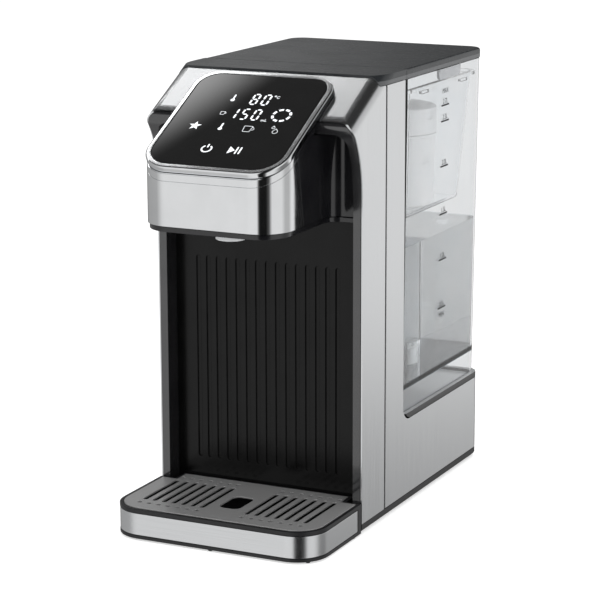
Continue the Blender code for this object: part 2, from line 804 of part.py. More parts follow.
def make_niche():
    """Black arch that frames the cup niche, and the ribbed panel at its back."""
    lowered = PANEL + CLEAR
    outline = front_profile(HOUSING_PROUD, lowered, BACK_REAR, [BACK_REAR])
    housing = flat_solid("niche_housing", [outline], -INNER, INNER, "YZ", black_gloss)
    keep_common(housing, hood("niche_housing_outside", INNER, lowered))
    opening = rounded_outline((-NICHE_HALF, CASE_BOTTOM - OVERRUN), (NICHE_HALF, NICHE_TOP),
                              (0, 0, NICHE_CORNER, NICHE_CORNER))
    cut(housing, flat_solid("niche_opening", [opening], TRAY_FRONT, REAR, "XZ"))
    smooth(housing)
    half = NICHE_HALF - CLEAR
    sheet = rounded_outline((-half, CASE_BOTTOM + CLEAR), (half, HEAD_FLOOR - CLEAR), (0, 0, 0, 0))
    panel = flat_solid("niche_back_panel", [sheet], BACK_FACE, BACK_REAR, "XZ", black_satin)
    beside = int((NICHE_HALF - RIB_MARGIN) / RIB_PITCH)
    height = (RIB_BOTTOM + RIB_TOP) / 2
    grooves = []
    for index in range(-beside, beside + 1):
        grooves.append(capsule((index * RIB_PITCH, height), RIB_WIDTH,
                               RIB_TOP - RIB_BOTTOM, SMALL_STEPS))
    cut(panel, flat_solid("panel_grooves", grooves, BACK_FACE - OVERRUN, BACK_FACE + RIB_DEPTH, "XZ"))


def head_plan(inset, front, half_wing, rear):
    """Plan of the head from its round front back through the neck to the wings inside the arch."""
    half = HEAD_HALF - inset
    corner = HEAD_CORNER - inset
    flare_y = from_front(NECK_WING) - NECK_FLARE
    path = arc((half - corner, front + corner), corner, 270, 360, CORNER_STEPS + 1)
    path += arc((half + NECK_FLARE, flare_y), NECK_FLARE, 180, 90, CORNER_STEPS)
    path += [(half_wing, flare_y + NECK_FLARE + NECK_RAKE), (half_wing, rear)]
    return path + [(-x, y) for x, y in reversed(path)]


def frame_underside(y):
    """Height just under the display frame at a depth."""
    return display_height(y) - FRAME_THICK * TILT_REACH - CLEAR


def make_head():
    """Polished nose of the dispensing head, its black underside and the neck behind it."""
    end_low = from_front(-HEAD_END_LOW)
    end_high = from_front(-HEAD_END_HIGH)
    corner = HEAD_CORNER
    path = [(-HEAD_HALF, end_low)]
    path += arc((-HEAD_HALF + corner, HEAD_FRONT + corner), corner, 180, 270, CORNER_STEPS + 1)
    path += arc((HEAD_HALF - corner, HEAD_FRONT + corner), corner, 270, 360, CORNER_STEPS + 1)
    path += [(HEAD_HALF, end_low)]
    cover = ribbon("head_cover", path, HEAD_BOTTOM, NICHE_TOP, HEAD_WALL, mirror_steel)
    near = HEAD_FRONT - OVERRUN
    rake = (end_low - end_high) / (NICHE_TOP - HEAD_BOTTOM)
    side = [(near, HEAD_BOTTOM - OVERRUN), (end_low + OVERRUN * rake, HEAD_BOTTOM - OVERRUN),
            (end_high, frame_underside(end_high)), (near, frame_underside(near))]
    keep_common(cover, flat_solid("head_side", [side], -HALF, HALF, "YZ"))

    wing = NICHE_HALF - CLEAR
    floor = head_plan(HEAD_BASE_INSET, HEAD_FRONT + HEAD_BASE_INSET, wing, BACK_REAR)
    base = flat_solid("head_base_cover", [floor], HEAD_FLOOR, HEAD_BOTTOM - CLEAR, "XY", black_gloss)
    cut(base, rod("nozzle_hole", NOZZLE_RADIUS + CLEAR, -OVERRUN, OVERRUN, NOZZLE_PLACE))

    top = NICHE_TOP - 2 * CLEAR
    plan = head_plan(CLEAR, HEAD_FRONT, wing, BACK_REAR)
    neck = flat_solid("neck_housing", [plan], HEAD_BOTTOM, HEIGHT, "XY", black_gloss)
    nose = from_front(-NOSE_REACH) - NECK_STEP_GAP
    under = NECK_TOP_GAP * TILT_REACH
    front_low = end_low + CLEAR * 2
    front_high = end_high + CLEAR * 2
    rear = BACK_REAR + OVERRUN
    profile = [(front_low, HEAD_BOTTOM - CLEAR), (rear, HEAD_BOTTOM - CLEAR), (rear, top), (nose, top),
               (nose, frame_underside(nose) - under), (front_high, frame_underside(front_high) - under)]
    keep_common(neck, flat_solid("neck_side", [profile], -HALF, HALF, "YZ"))
    inner = HEAD_HALF - NECK_WALL
    lid = top - NECK_WALL
    slant_drop = under + NECK_WALL * TILT_REACH
    near = HEAD_FRONT
    hollow = [(near, HEAD_BOTTOM - OVERRUN), (BACK_REAR - NECK_WALL, HEAD_BOTTOM - OVERRUN),
              (BACK_REAR - NECK_WALL, lid), (nose, lid),
              (nose - NECK_WALL, frame_underside(nose) - slant_drop),
              (near, frame_underside(near) - slant_drop)]
    cut(neck, flat_solid("neck_inside", [hollow], -inner, inner, "YZ"))
    edge = rounded_outline((-wing, HEAD_FLOOR - OVERRUN), (wing, top), (0, 0, NICHE_CORNER, NICHE_CORNER))
    wide = rounded_outline((-HALF, HEAD_FLOOR - 2 * OVERRUN), (HALF, HEIGHT), (0, 0, 0, 0))
    cut(neck, flat_solid("wing_corners", [wide, edge], nose, rear, "XZ"))
    cut(neck, rod("hose_hole", HOSE_HOLE, -OVERRUN, OVERRUN, (0, BACK_REAR, HOSE_HEIGHT), lying="Y"))
    smooth(cover)


def plate_outline(inset):
    """Outline of the display plate in its own tilted plane."""
    reach = (DISPLAY_BACK + TRAY_REACH) * TILT_REACH / 2 - inset
    front = HEAD_CORNER - inset
    rear = FRAME_REAR_CORNER - inset
    half = HEAD_HALF - inset
    return rounded_outline((-half, -reach), (half, reach), (front, front, rear, rear))


def make_display():
    """Polished frame, dark glass and the board behind it, all laid in one tilted plane."""
    middle = from_front((DISPLAY_BACK - TRAY_REACH) / 2)
    tilt = empty("display_tilt", (0, middle, display_height(middle)))
    tilt.rotation_euler = (DISPLAY_TILT, 0, 0)
    frame = flat_solid("display_frame", [plate_outline(0)], -FRAME_THICK, 0, "XY", mirror_steel)
    round_edges(frame, FRAME_BEVEL, SMALL_STEPS, lambda start, end: min(start.z, end.z) > -WELD)
    glass_low = -GLASS_SINK - GLASS_THICK
    well = flat_solid("glass_well", [plate_outline(FRAME_RIM)], glass_low - CLEAR, OVERRUN, "XY")
    eye = flat_solid("board_well", [plate_outline(FRAME_RIM + FRAME_LEDGE)],
                     -FRAME_THICK - OVERRUN, 0, "XY")
    cut(frame, well)
    cut(frame, eye)
    smooth(frame)
    glass = flat_solid("display_glass", [plate_outline(FRAME_RIM + CLEAR)], glass_low, -GLASS_SINK, "XY",
                       dark_glass)
    board_top = glass_low - BOARD_GAP
    board = flat_solid("display_board", [plate_outline(FRAME_RIM + FRAME_LEDGE + CLEAR)],
                       board_top - BOARD_THICK, board_top, "XY", board_green)
    for piece in (frame, well, eye, glass, board):
        piece.parent = tilt


def make_outlet():
    """Outlet nozzle through the head's underside, with its seal."""
    seat = SEAL_THICK + CLEAR
    flange_top = seat + NOZZLE_FLANGE_THICK
    low = -HEAD_BASE_THICK - NOZZLE_DROP
    lip = NOZZLE_DROP / 8
    profile = [(NOZZLE_STEM, flange_top + NOZZLE_STEM_LENGTH), (NOZZLE_STEM, flange_top),
               (NOZZLE_FLANGE, flange_top), (NOZZLE_FLANGE, seat), (NOZZLE_RADIUS, seat),
               (NOZZLE_RADIUS, low + lip), (NOZZLE_RADIUS - lip, low), (NOZZLE_BORE, low),
               (NOZZLE_BORE, flange_top + NOZZLE_STEM_LENGTH)]
    turned("outlet_nozzle", profile, NOZZLE_PLACE, pale_grey)
    inner = NOZZLE_RADIUS + CLEAR
    ring("nozzle_seal", inner, inner + SEAL_WIDTH, 0, SEAL_THICK, NOZZLE_PLACE, rubber)
    stem_top = NOZZLE_PLACE[2] + flange_top + NOZZLE_STEM_LENGTH
    heater_x, heater_y, heater_low = HEATER_PLACE
    heater_top = heater_low + HEATER_LENGTH + HEATER_SPIGOT_LENGTH
    bend = NOZZLE_FLANGE
    between = [(heater_x / 2, (heater_y + BACK_REAR) / 2, heater_top + bend),
               (0, BACK_REAR + bend / 2, HOSE_HEIGHT),
               (0, BACK_REAR - bend, HOSE_HEIGHT),
               (0, NOZZLE_PLACE[1] + 2 * bend, HOSE_HEIGHT)]
    hose("outlet_hose", (heater_x, heater_y, heater_top + CLEAR), (0, 0, 1), between,
         (0, NOZZLE_PLACE[1], stem_top + CLEAR), (0, 0, -1))


def tray_plan(inset, tongue_half):
    """Plan of the drip tray: round front corners and a narrower tongue that enters the niche."""
    corner = TRAY_CORNER - inset
    half = HALF - inset
    front = TRAY_FRONT + inset
    path = arc((half - corner, front + corner), corner, 270, 360, CORNER_STEPS + 1)
    path += [(half, FRONT - inset), (tongue_half - inset, FRONT - inset),
             (tongue_half - inset, BACK_FACE - TRAY_GAP - inset)]
    return path + [(-x, y) for x, y in reversed(path)]


def band_path(inset, reach=0.0):
    """Plan of the steel band round the tray's sides and front."""
    corner = TRAY_CORNER - inset
    half = HALF - inset
    front = TRAY_FRONT + inset
    end = FRONT - BAND_END + reach
    path = [(-half, end)]
    path += arc((-half + corner, front + corner), corner, 180, 270, CORNER_STEPS + 1)
    path += arc((half - corner, front + corner), corner, 270, 360, CORNER_STEPS + 1)
    return path + [(half, end)]


def make_tray():
    """Drip tray with its steel band and the slotted grid laid in its rim."""
    tray = flat_solid("drip_tray_body", [tray_plan(0, TONGUE_HALF)], TRAY_LIFT, TRAY_TOP, "XY", black_satin)
    round_edges(tray, TRAY_BEVEL, 2, lambda start, end: min(start.z, end.z) > TRAY_TOP - WELD)
    grid_low = TRAY_TOP + GRID_PROUD - GRID_THICK
    recess = flat_solid("grid_recess", [tray_plan(TRAY_RIM, TONGUE_HALF)], grid_low - CLEAR,
                        TRAY_TOP + OVERRUN, "XY")
    cut(tray, recess)
    basin = flat_solid("tray_basin", [tray_plan(TRAY_RIM + TRAY_LEDGE, TONGUE_HALF)],
                       TRAY_LIFT + TRAY_FLOOR, TRAY_TOP + OVERRUN, "XY")
    cut(tray, basin)
    groove = ribbon("band_groove", band_path(-BAND_THICK, CLEAR), BAND_BOTTOM - CLEAR, BAND_TOP + CLEAR,
                    2 * BAND_THICK + BAND_INSET + CLEAR)
    cut(tray, groove)
    corner = TRAY_CORNER - NUB_INSET
    lean = corner * math.sqrt(0.5)
    corner_x = HALF - TRAY_CORNER + lean
    corner_y = TRAY_FRONT + TRAY_CORNER - lean
    side_x = HALF - NUB_INSET
    side_y = FRONT - NUB_REAR
    places = [(-corner_x, corner_y), (corner_x, corner_y), (0, TRAY_FRONT + NUB_INSET),
              (-side_x, side_y), (side_x, side_y)]
    for number, place in enumerate(places, 1):
        nub_top = TRAY_LIFT + TRAY_FLOOR / 2
        join(tray, rod(f"tray_nub_{number}", NUB_RADIUS, CLEAR, nub_top, (*place, 0), sides=SMALL_SIDES))
    band = ribbon("drip_tray_band", band_path(BAND_INSET), BAND_BOTTOM, BAND_TOP, BAND_THICK, steel)

    loops = [tray_plan(TRAY_RIM + CLEAR, TONGUE_HALF)]
    slot_middle = from_front(-(SLOT_FRONT + SLOT_REAR) / 2)
    slot_length = SLOT_FRONT - SLOT_REAR
    slots = int((HALF - GRID_EDGE - GRID_FIRST) / GRID_PITCH) + 1
    for side in (-1, 1):
        for index in range(slots):
            x = side * (GRID_FIRST + index * GRID_PITCH)
            loops.append(capsule((x, slot_middle), SLOT_WIDTH, slot_length, SMALL_STEPS))
            for distance in (DOT_FRONT, DOT_REAR):
                loops.append(capsule((x, from_front(-distance)), 2 * DOT_RADIUS, 2 * DOT_RADIUS + WELD * 2,
                                     SMALL_STEPS))
    finger = from_front(-FINGER_SET)
    loops.append(rounded_outline((-FINGER_WIDTH / 2, finger - FINGER_LENGTH / 2),
                                 (FINGER_WIDTH / 2, finger + FINGER_LENGTH / 2), (FINGER_CORNER,) * 4,
                                 SMALL_STEPS))
    grid = flat_solid("drip_grid", loops, grid_low, grid_low + GRID_THICK, "XY", steel)

    slide = empty("drip_tray_slide", (0, TRAY_FRONT, 0))
    lift = empty("drip_grid_lift", (0, finger, TRAY_TOP))
    carry(lift, [grid])
    carry(slide, [tray, band, lift])


def make_bay():
    """The L-shaped wall round the tank bay: its front face carries the heater, its side the board."""
    left = -BAY_LEFT
    outline = [(left - BAY_WALL, BAY_FRONT - BAY_WALL), (INNER, BAY_FRONT - BAY_WALL), (INNER, BAY_FRONT),
               (left, BAY_FRONT), (left, REAR_INSIDE - CLEAR), (left - BAY_WALL, REAR_INSIDE - CLEAR)]
    wall = flat_solid("tank_bay_wall", [outline], UPSTAND_TOP + CLEAR, WALL_TOP, "XY", pale_grey)
    cut(wall, rod("pressure_hose_hole", HOSE_HOLE, -OVERRUN, OVERRUN,
                  (PUMP_X, BAY_FRONT, PUMP_HEIGHT), lying="Y"))


def make_dock():
    """Shelf that the tank stands on, and the socket that opens the tank's valve."""
    plan = rounded_outline((-BAY_LEFT + CLEAR, SEAM_Y), (HALF, REAR), (0, 0, REAR_CORNER, 0))
    dock = flat_solid("tank_dock", [plan], WINDOW_BOTTOM, DOCK_TOP, "XY", black_satin)
    side = window_outline(CLEAR, DOCK_TOP + OVERRUN)
    keep_common(dock, flat_solid("dock_side", [side], -HALF, HALF + OVERRUN, "YZ"))
    corner = REAR_CORNER - DOCK_RIM
    low = (-BAY_LEFT + CLEAR + DOCK_RIM, SEAM_Y + WINDOW_CORNER)
    basin = rounded_outline(low, (HALF - DOCK_RIM, REAR - DOCK_RIM), (0, 0, corner, 0))
    cut(dock, flat_solid("dock_basin", [basin], DOCK_TOP - DOCK_BASIN, DOCK_TOP + OVERRUN, "XY"))
    place = (VALVE_PLACE[0], VALVE_PLACE[1], SOCKET_LOW)
    cut(dock, rod("socket_tail_hole", SOCKET_TAIL + CLEAR, -OVERRUN, OVERRUN, place))

    height = SOCKET_TOP - SOCKET_LOW
    seat = height - DOCK_SEAL_THICK - 2 * CLEAR
    profile = [(SOCKET_RADIUS, height), (SOCKET_RADIUS, SOCKET_FLOOR), (SOCKET_FLANGE, SOCKET_FLOOR),
               (SOCKET_FLANGE, 0), (SOCKET_TAIL, 0), (SOCKET_TAIL, -SOCKET_TAIL_LENGTH),
               (SOCKET_TAIL_BORE, -SOCKET_TAIL_LENGTH), (SOCKET_TAIL_BORE, SOCKET_FLOOR),
               (SOCKET_BORE, SOCKET_FLOOR), (SOCKET_BORE, seat), (DOCK_SEAL_RADIUS, seat),
               (DOCK_SEAL_RADIUS, height)]
    socket = turned("dock_socket", profile, place, black_satin)
    bar_reach = (SOCKET_TAIL_BORE + SOCKET_TAIL) / 2
    bar = block("socket_bar", (place[0] - bar_reach, place[1] - SOCKET_SPOKE / 2, place[2]),
                (place[0] + bar_reach, place[1] + SOCKET_SPOKE / 2, place[2] + SOCKET_FLOOR / 2))
    pin_top = TANK_FLOOR - VALVE_SEAT_THICK - PLUNGER_FOOT - CLEAR - place[2]
    join(socket, bar)
    join(socket, rod("socket_pin", SOCKET_PIN, SOCKET_FLOOR / 4, pin_top, place))
    ring("dock_seal", VALVE_SPIGOT + CLEAR, DOCK_SEAL_RADIUS - CLEAR, seat + CLEAR,
         seat + CLEAR + DOCK_SEAL_THICK, place, rubber)


def tank_outline(height, inset):
    """Plan of the tank at a height: its right and rear walls lean in towards the bottom."""
    lean = TANK_DRAFT * (WALL_TOP - height) / (WALL_TOP - TANK_LOW)
    front = TANK_FRONT_CORNER - inset
    rear = TANK_CORNER - inset
    return rounded_outline((TANK_LEFT + inset, TANK_FRONT + inset),
                           (TANK_RIGHT - lean - inset, TANK_REAR - lean - inset),
                           (front, front, rear, front))


def tank_space(name, inset, low, high, surface=None):
    """A solid that follows the tank's leaning walls between two heights."""
    return loft(name, tank_outline(low, inset), tank_outline(high, inset), low, high, surface)


def make_tank():
    """Clear water tank with a raised floor over an open skirt, and ledges for the funnel."""
    tank = tank_space("water_tank", 0, TANK_LOW, WALL_TOP, clear_plastic)
    cut(tank, tank_space("tank_hollow", TANK_WALL, TANK_FLOOR + TANK_FLOOR_THICK, WALL_TOP + OVERRUN))
    cut(tank, tank_space("tank_skirt", TANK_WALL, TANK_LOW - OVERRUN, TANK_FLOOR))
    cut(tank, rod("tank_valve_hole", VALVE_RADIUS + CLEAR, -OVERRUN, OVERRUN, VALVE_PLACE))
    ledge_top = FUNNEL_TOP - HOPPER_RIM - CLEAR
    reach = HOPPER_GAP + HOPPER_LIP - 2 * CLEAR
    for side, wall in ((-1, TANK_LEFT + TANK_WALL), (1, TANK_RIGHT - TANK_WALL)):
        for number, share in enumerate(LEDGE_SHARES, 1):
            y = TANK_FRONT + (TANK_REAR - TANK_FRONT) * share
            root = wall + side * TANK_WALL / 2
            tip = wall - side * reach
            name = f"tank_ledge_{'left' if side < 0 else 'right'}_{number}"
            ledge = block(name, (min(root, tip), y - LEDGE_LENGTH / 2, ledge_top - LEDGE_THICK),
                          (max(root, tip), y + LEDGE_LENGTH / 2, ledge_top))
            join(tank, ledge)
    return tank


def make_valve():
    """Spring-loaded valve in the tank's floor: housing, plunger with its seal, and spring."""
    top = TANK_FLOOR_THICK + VALVE_TOP
    flange_low = -CLEAR - VALVE_FLANGE_THICK
    bottom = SOCKET_LOW + SOCKET_FLOOR + VALVE_DROP_GAP - TANK_FLOOR
    low_bore = VALVE_SPIGOT - VALVE_WALL
    lip_low = top - VALVE_LIP_THICK
    profile = [(VALVE_RADIUS, top), (VALVE_RADIUS, -CLEAR), (VALVE_FLANGE, -CLEAR),
               (VALVE_FLANGE, flange_low), (VALVE_SPIGOT, flange_low), (VALVE_SPIGOT, bottom),
               (low_bore, bottom), (low_bore, -VALVE_SEAT_THICK), (VALVE_SEAT, -VALVE_SEAT_THICK),
               (VALVE_SEAT, 0), (VALVE_BORE, 0), (VALVE_BORE, lip_low), (VALVE_LIP, lip_low),
               (VALVE_LIP, top)]
    housing = turned("tank_valve_housing", profile, VALVE_PLACE, white_plastic)
    head_low = VALVE_SEAL_THICK + 2 * CLEAR
    head_top = head_low + PLUNGER_HEAD_THICK
    foot = -VALVE_SEAT_THICK - PLUNGER_FOOT
    guide_top = top + PLUNGER_GUIDE
    plunger = turned("tank_valve_plunger",
                     [(0, guide_top), (PLUNGER_STEM, guide_top), (PLUNGER_STEM, head_top),
                      (PLUNGER_HEAD, head_top), (PLUNGER_HEAD, head_low), (PLUNGER_STEM, head_low),
                      (PLUNGER_STEM, foot), (0, foot)], VALVE_PLACE, pale_grey)
    seal = ring("tank_valve_seal", PLUNGER_STEM + CLEAR, PLUNGER_HEAD, CLEAR, CLEAR + VALVE_SEAL_THICK,
                VALVE_PLACE, rubber)
    low = head_top + CLEAR + SPRING_WIRE
    high = lip_low - CLEAR - SPRING_WIRE
    coil = []
    count = SPRING_TURNS * SPRING_POINTS
    for index in range(count + 1):
        angle = math.tau * index / SPRING_POINTS
        coil.append((VALVE_PLACE[0] + SPRING_RADIUS * math.cos(angle),
                     VALVE_PLACE[1] + SPRING_RADIUS * math.sin(angle),
                     VALVE_PLACE[2] + low + (high - low) * index / count))
    spring = tube("tank_valve_spring", coil, SPRING_WIRE, 1, zinc)
    lift = empty("valve_plunger_lift", VALVE_PLACE)
    carry(lift, [plunger, seal])
    return [housing, spring, lift]


def funnel_outline(height, inset):
    """Plan of the funnel's drawn body at a height."""
    share = (FUNNEL_TOP - height) / HOPPER_DEPTH
    margin = TANK_WALL + HOPPER_GAP + HOPPER_LIP + inset
    lean_x = margin + HOPPER_DRAFT_X * share
    lean_y = margin + HOPPER_DRAFT_Y * share
    return rounded_outline((TANK_LEFT + lean_x, TANK_FRONT + lean_y),
                           (TANK_RIGHT - lean_x, TANK_REAR - lean_y), (HOPPER_CORNER - inset,) * 4)


def funnel_space(name, inset, low, high, surface=None):
    """A solid that follows the funnel's leaning walls between two heights."""
    return loft(name, funnel_outline(low, inset), funnel_outline(high, inset), low, high, surface)


def make_funnel():
    """Clear upper vessel hung in the tank's mouth, with the filter's hole in its floor."""
    funnel = funnel_space("tank_funnel", 0, FUNNEL_LOW, FUNNEL_TOP - HOPPER_RIM / 2, clear_plastic)
    margin = TANK_WALL + HOPPER_GAP
    rim = rounded_outline((TANK_LEFT + margin, TANK_FRONT + margin),
                          (TANK_RIGHT - margin, TANK_REAR - margin), (HOPPER_CORNER + HOPPER_LIP,) * 4)
    join(funnel, loft("funnel_rim", rim, rim, FUNNEL_TOP - HOPPER_RIM, FUNNEL_TOP))
    cut(funnel, funnel_space("funnel_hollow", HOPPER_WALL, FUNNEL_LOW + HOPPER_WALL, FUNNEL_TOP + OVERRUN))
    cut(funnel, rod("filter_hole", FILTER_SPIGOT + CLEAR, -OVERRUN, OVERRUN,
                    (*FILTER_MIDDLE, FUNNEL_LOW)))
    return funnel


def make_filter():
    """Filter cartridge that plugs into the funnel's floor, with its domed cap."""
    place = (*FILTER_MIDDLE, FUNNEL_LOW + HOPPER_WALL + CLEAR)
    joint = FILTER_LENGTH - FILTER_CAP
    body = [(0, joint), (FILTER_RADIUS, joint), (FILTER_RADIUS - FILTER_DRAFT, 0), (FILTER_SPIGOT, 0),
            (FILTER_SPIGOT, -FILTER_SPIGOT_LENGTH), (0, -FILTER_SPIGOT_LENGTH)]
    cartridge = turned("filter_cartridge", body, place, white_plastic)
    dome = []
    for step in range(CORNER_STEPS + 1):
        angle = math.pi / 2 * step / CORNER_STEPS
        dome.append((FILTER_RADIUS * math.sin(angle),
                     FILTER_LENGTH - FILTER_DOME + FILTER_DOME * math.cos(angle)))
    dome.extend([(FILTER_RADIUS, joint + CLEAR), (0, joint + CLEAR)])
    cap = turned("filter_cap", dome, place, pale_grey)
    return [cartridge, cap]


def make_lid():
    """Lift-off tank lid, hollow below, with the tab that locates it inside the tank's wall."""
    low = (-HALF, SEAM_Y)
    lid = flat_solid("tank_lid", [rounded_outline(low, (HALF, REAR), (0, 0, REAR_CORNER, REAR_CORNER))],
                     COVER_BOTTOM, HEIGHT, "XY", lid_grey)
    top = COVER_THICK / 2
    round_edges(lid, COVER_BEVEL, SMALL_STEPS, lambda start, end: min(start.z, end.z) > HEIGHT - top)
    corner = REAR_CORNER - COVER_RIM
    recess = rounded_outline((-HALF + COVER_RIM, SEAM_Y + COVER_RIM), (HALF - COVER_RIM, REAR - COVER_RIM),
                             (corner,) * 4)
    cut(lid, flat_solid("lid_recess", [recess], COVER_BOTTOM - OVERRUN, COVER_BOTTOM + COVER_RECESS, "XY"))
    middle = REAR - TAB_REAR
    tab_top = COVER_BOTTOM - CLEAR
    outline = rounded_outline((middle - TAB_WIDTH / 2, tab_top - TAB_DROP),
                              (middle + TAB_WIDTH / 2, tab_top), (TAB_CORNER, TAB_CORNER, 0, 0))
    face = TANK_RIGHT - TANK_WALL - 2 * CLEAR
    tab = flat_solid("lid_tab", [outline], face - TAB_THICK, face, "YZ", smoked_tab)
    return [lid, tab]


def make_tank_group():
    """The tank and what is stacked in it, each level carried by the one below."""
    tank = make_tank()
    valve = make_valve()
    funnel = make_funnel()
    filter_pieces = make_filter()
    lid_pieces = make_lid()
    tank_lift = empty("water_tank_lift", (*TANK_MIDDLE, TANK_LOW))
    funnel_lift = empty("tank_funnel_lift", (*TANK_MIDDLE, FUNNEL_TOP))
    filter_lift = empty("filter_lift", (*FILTER_MIDDLE, FUNNEL_LOW))
    lid_lift = empty("tank_lid_lift", (0, TANK_MIDDLE[1], COVER_BOTTOM))
    carry(lid_lift, lid_pieces)
    carry(filter_lift, [*filter_pieces, lid_lift])
    carry(funnel_lift, [funnel, filter_lift])
    carry(tank_lift, [tank, *valve, funnel_lift])


def make_pump():
    """Pump and its motor in a cradle on the base pan, with the hoses to and from it."""
    y = from_front(PUMP_Y)
    place = (PUMP_X, y, PUMP_HEIGHT)
    pump = rod("water_pump", PUMP_RADIUS, -PUMP_LENGTH / 2, PUMP_LENGTH / 2, place, black_satin, lying="X")
    reach = PUMP_RADIUS + PUMP_SPIGOT_LENGTH
    join(pump, rod("pump_spigots", PUMP_SPIGOT, -reach, reach, place, lying="Y"))
    rod("pump_motor", MOTOR_RADIUS, -PUMP_LENGTH / 2 - CLEAR - MOTOR_LENGTH,
        -PUMP_LENGTH / 2 - CLEAR, place, zinc, lying="X")
    half = PUMP_RADIUS + CRADLE_WALL
    mount = block("pump_mount", (PUMP_X - CRADLE_LENGTH / 2, y - half, BASE_TOP + CLEAR),
                  (PUMP_X + CRADLE_LENGTH / 2, y + half, PUMP_HEIGHT - PUMP_SPIGOT - 2 * CLEAR), rubber)
    cut(mount, rod("pump_cradle", PUMP_RADIUS + CLEAR, -CRADLE_LENGTH, CRADLE_LENGTH, place, lying="X"))

    tail_x, tail_y = VALVE_PLACE[:2]
    tail_low = SOCKET_LOW - SOCKET_TAIL_LENGTH - CLEAR
    bend = PUMP_RADIUS
    hose("inlet_hose", (tail_x, tail_y, tail_low), (0, 0, -1),
         [((tail_x + PUMP_X) / 2, tail_y + bend / 2, PUMP_HEIGHT)],
         (PUMP_X, y + reach + CLEAR, PUMP_HEIGHT), (0, -1, 0))
    spigot_low = HEATER_LOW - HEATER_SPIGOT_LENGTH - CLEAR
    hose("pressure_hose", (PUMP_X, y - reach - CLEAR, PUMP_HEIGHT), (0, -1, 0),
         [(PUMP_X, BAY_FRONT - BAY_WALL - 2 * HOSE_RADIUS, PUMP_HEIGHT),
          ((PUMP_X + HEATER_X) / 2, HEATER_PLACE[1], (PUMP_HEIGHT + spigot_low) / 2)],
         (HEATER_X, HEATER_PLACE[1], spigot_low), (0, 0, 1))


def make_heater():
    """Upright flow heater clamped to the bay wall, with its thermostat."""
    spigot = HEATER_SPIGOT_LENGTH
    profile = [(0, HEATER_LENGTH + spigot), (HEATER_SPIGOT, HEATER_LENGTH + spigot),
               (HEATER_SPIGOT, HEATER_LENGTH), (HEATER_RADIUS, HEATER_LENGTH), (HEATER_RADIUS, 0),
               (HEATER_SPIGOT, 0), (HEATER_SPIGOT, -spigot), (0, -spigot)]
    turned("flow_heater", profile, HEATER_PLACE, heater_metal)
    x, y, low = HEATER_PLACE
    inner = HEATER_RADIUS + CLEAR
    levels = [HEATER_LENGTH * share for share in CLAMP_SHARES]
    plate_low = low + levels[0] - CLAMP_WIDTH / 2
    plate_high = low + levels[-1] + CLAMP_WIDTH / 2
    bracket = block("heater_bracket", (x - CLAMP_WIDTH, y + inner + CLAMP_WALL / 2, plate_low),
                    (x + CLAMP_WIDTH, BAY_FRONT - BAY_WALL - CLEAR, plate_high), zinc)
    for number, level in enumerate(levels, 1):
        join(bracket, ring(f"heater_clamp_{number}", inner, inner + CLAMP_WALL, level - CLAMP_WIDTH / 2,
                           level + CLAMP_WIDTH / 2, HEATER_PLACE))
    rod("thermostat", THERMOSTAT_RADIUS, inner, inner + THERMOSTAT_THICK,
        (x, y, low + HEATER_LENGTH / 2), black_satin, lying="Y")


def make_power_board():
    """Power board on pegs in the left bay."""
    near = from_front(BOARD_FRONT)
    far = REAR - BOARD_REAR_GAP
    wall = -BAY_LEFT - BAY_WALL - CLEAR
    plate = wall - BRACKET_THICK
    bracket = block("power_board_bracket", (plate, near, BOARD_LOW), (wall, far, BOARD_HIGH), zinc)
    board_face = plate - BOARD_STANDOFF
    board = block("power_board", (board_face - BOARD_SHEET, near, BOARD_LOW),
                  (board_face, far, BOARD_HIGH), board_green)
    number = 0
    for y in (near + PEG_INSET, far - PEG_INSET):
        for z in (BOARD_LOW + PEG_INSET, BOARD_HIGH - PEG_INSET):
            number += 1
            join(bracket, rod(f"board_peg_{number}", PEG_RADIUS, board_face + CLEAR,
                              plate + BRACKET_THICK / 2, (0, y, z), lying="X", sides=SMALL_SIDES))
    face = board_face - BOARD_SHEET
    for number, (near_share, low_share, depth_share, height_share) in enumerate(BOARD_PART_SHARES, 1):
        y = near + (far - near) * near_share
        z = BOARD_LOW + (BOARD_HIGH - BOARD_LOW) * low_share
        join(board, block(f"board_part_{number}", (face - BOARD_PART_DEPTH, y, z),
                          (face + BOARD_SHEET / 2, y + (far - near) * depth_share,
                           z + (BOARD_HIGH - BOARD_LOW) * height_share)))


def round_hole(centre, radius, sides):
    """Outline of a round hole."""
    return arc(centre, radius, 0, 360, sides)[:-1]


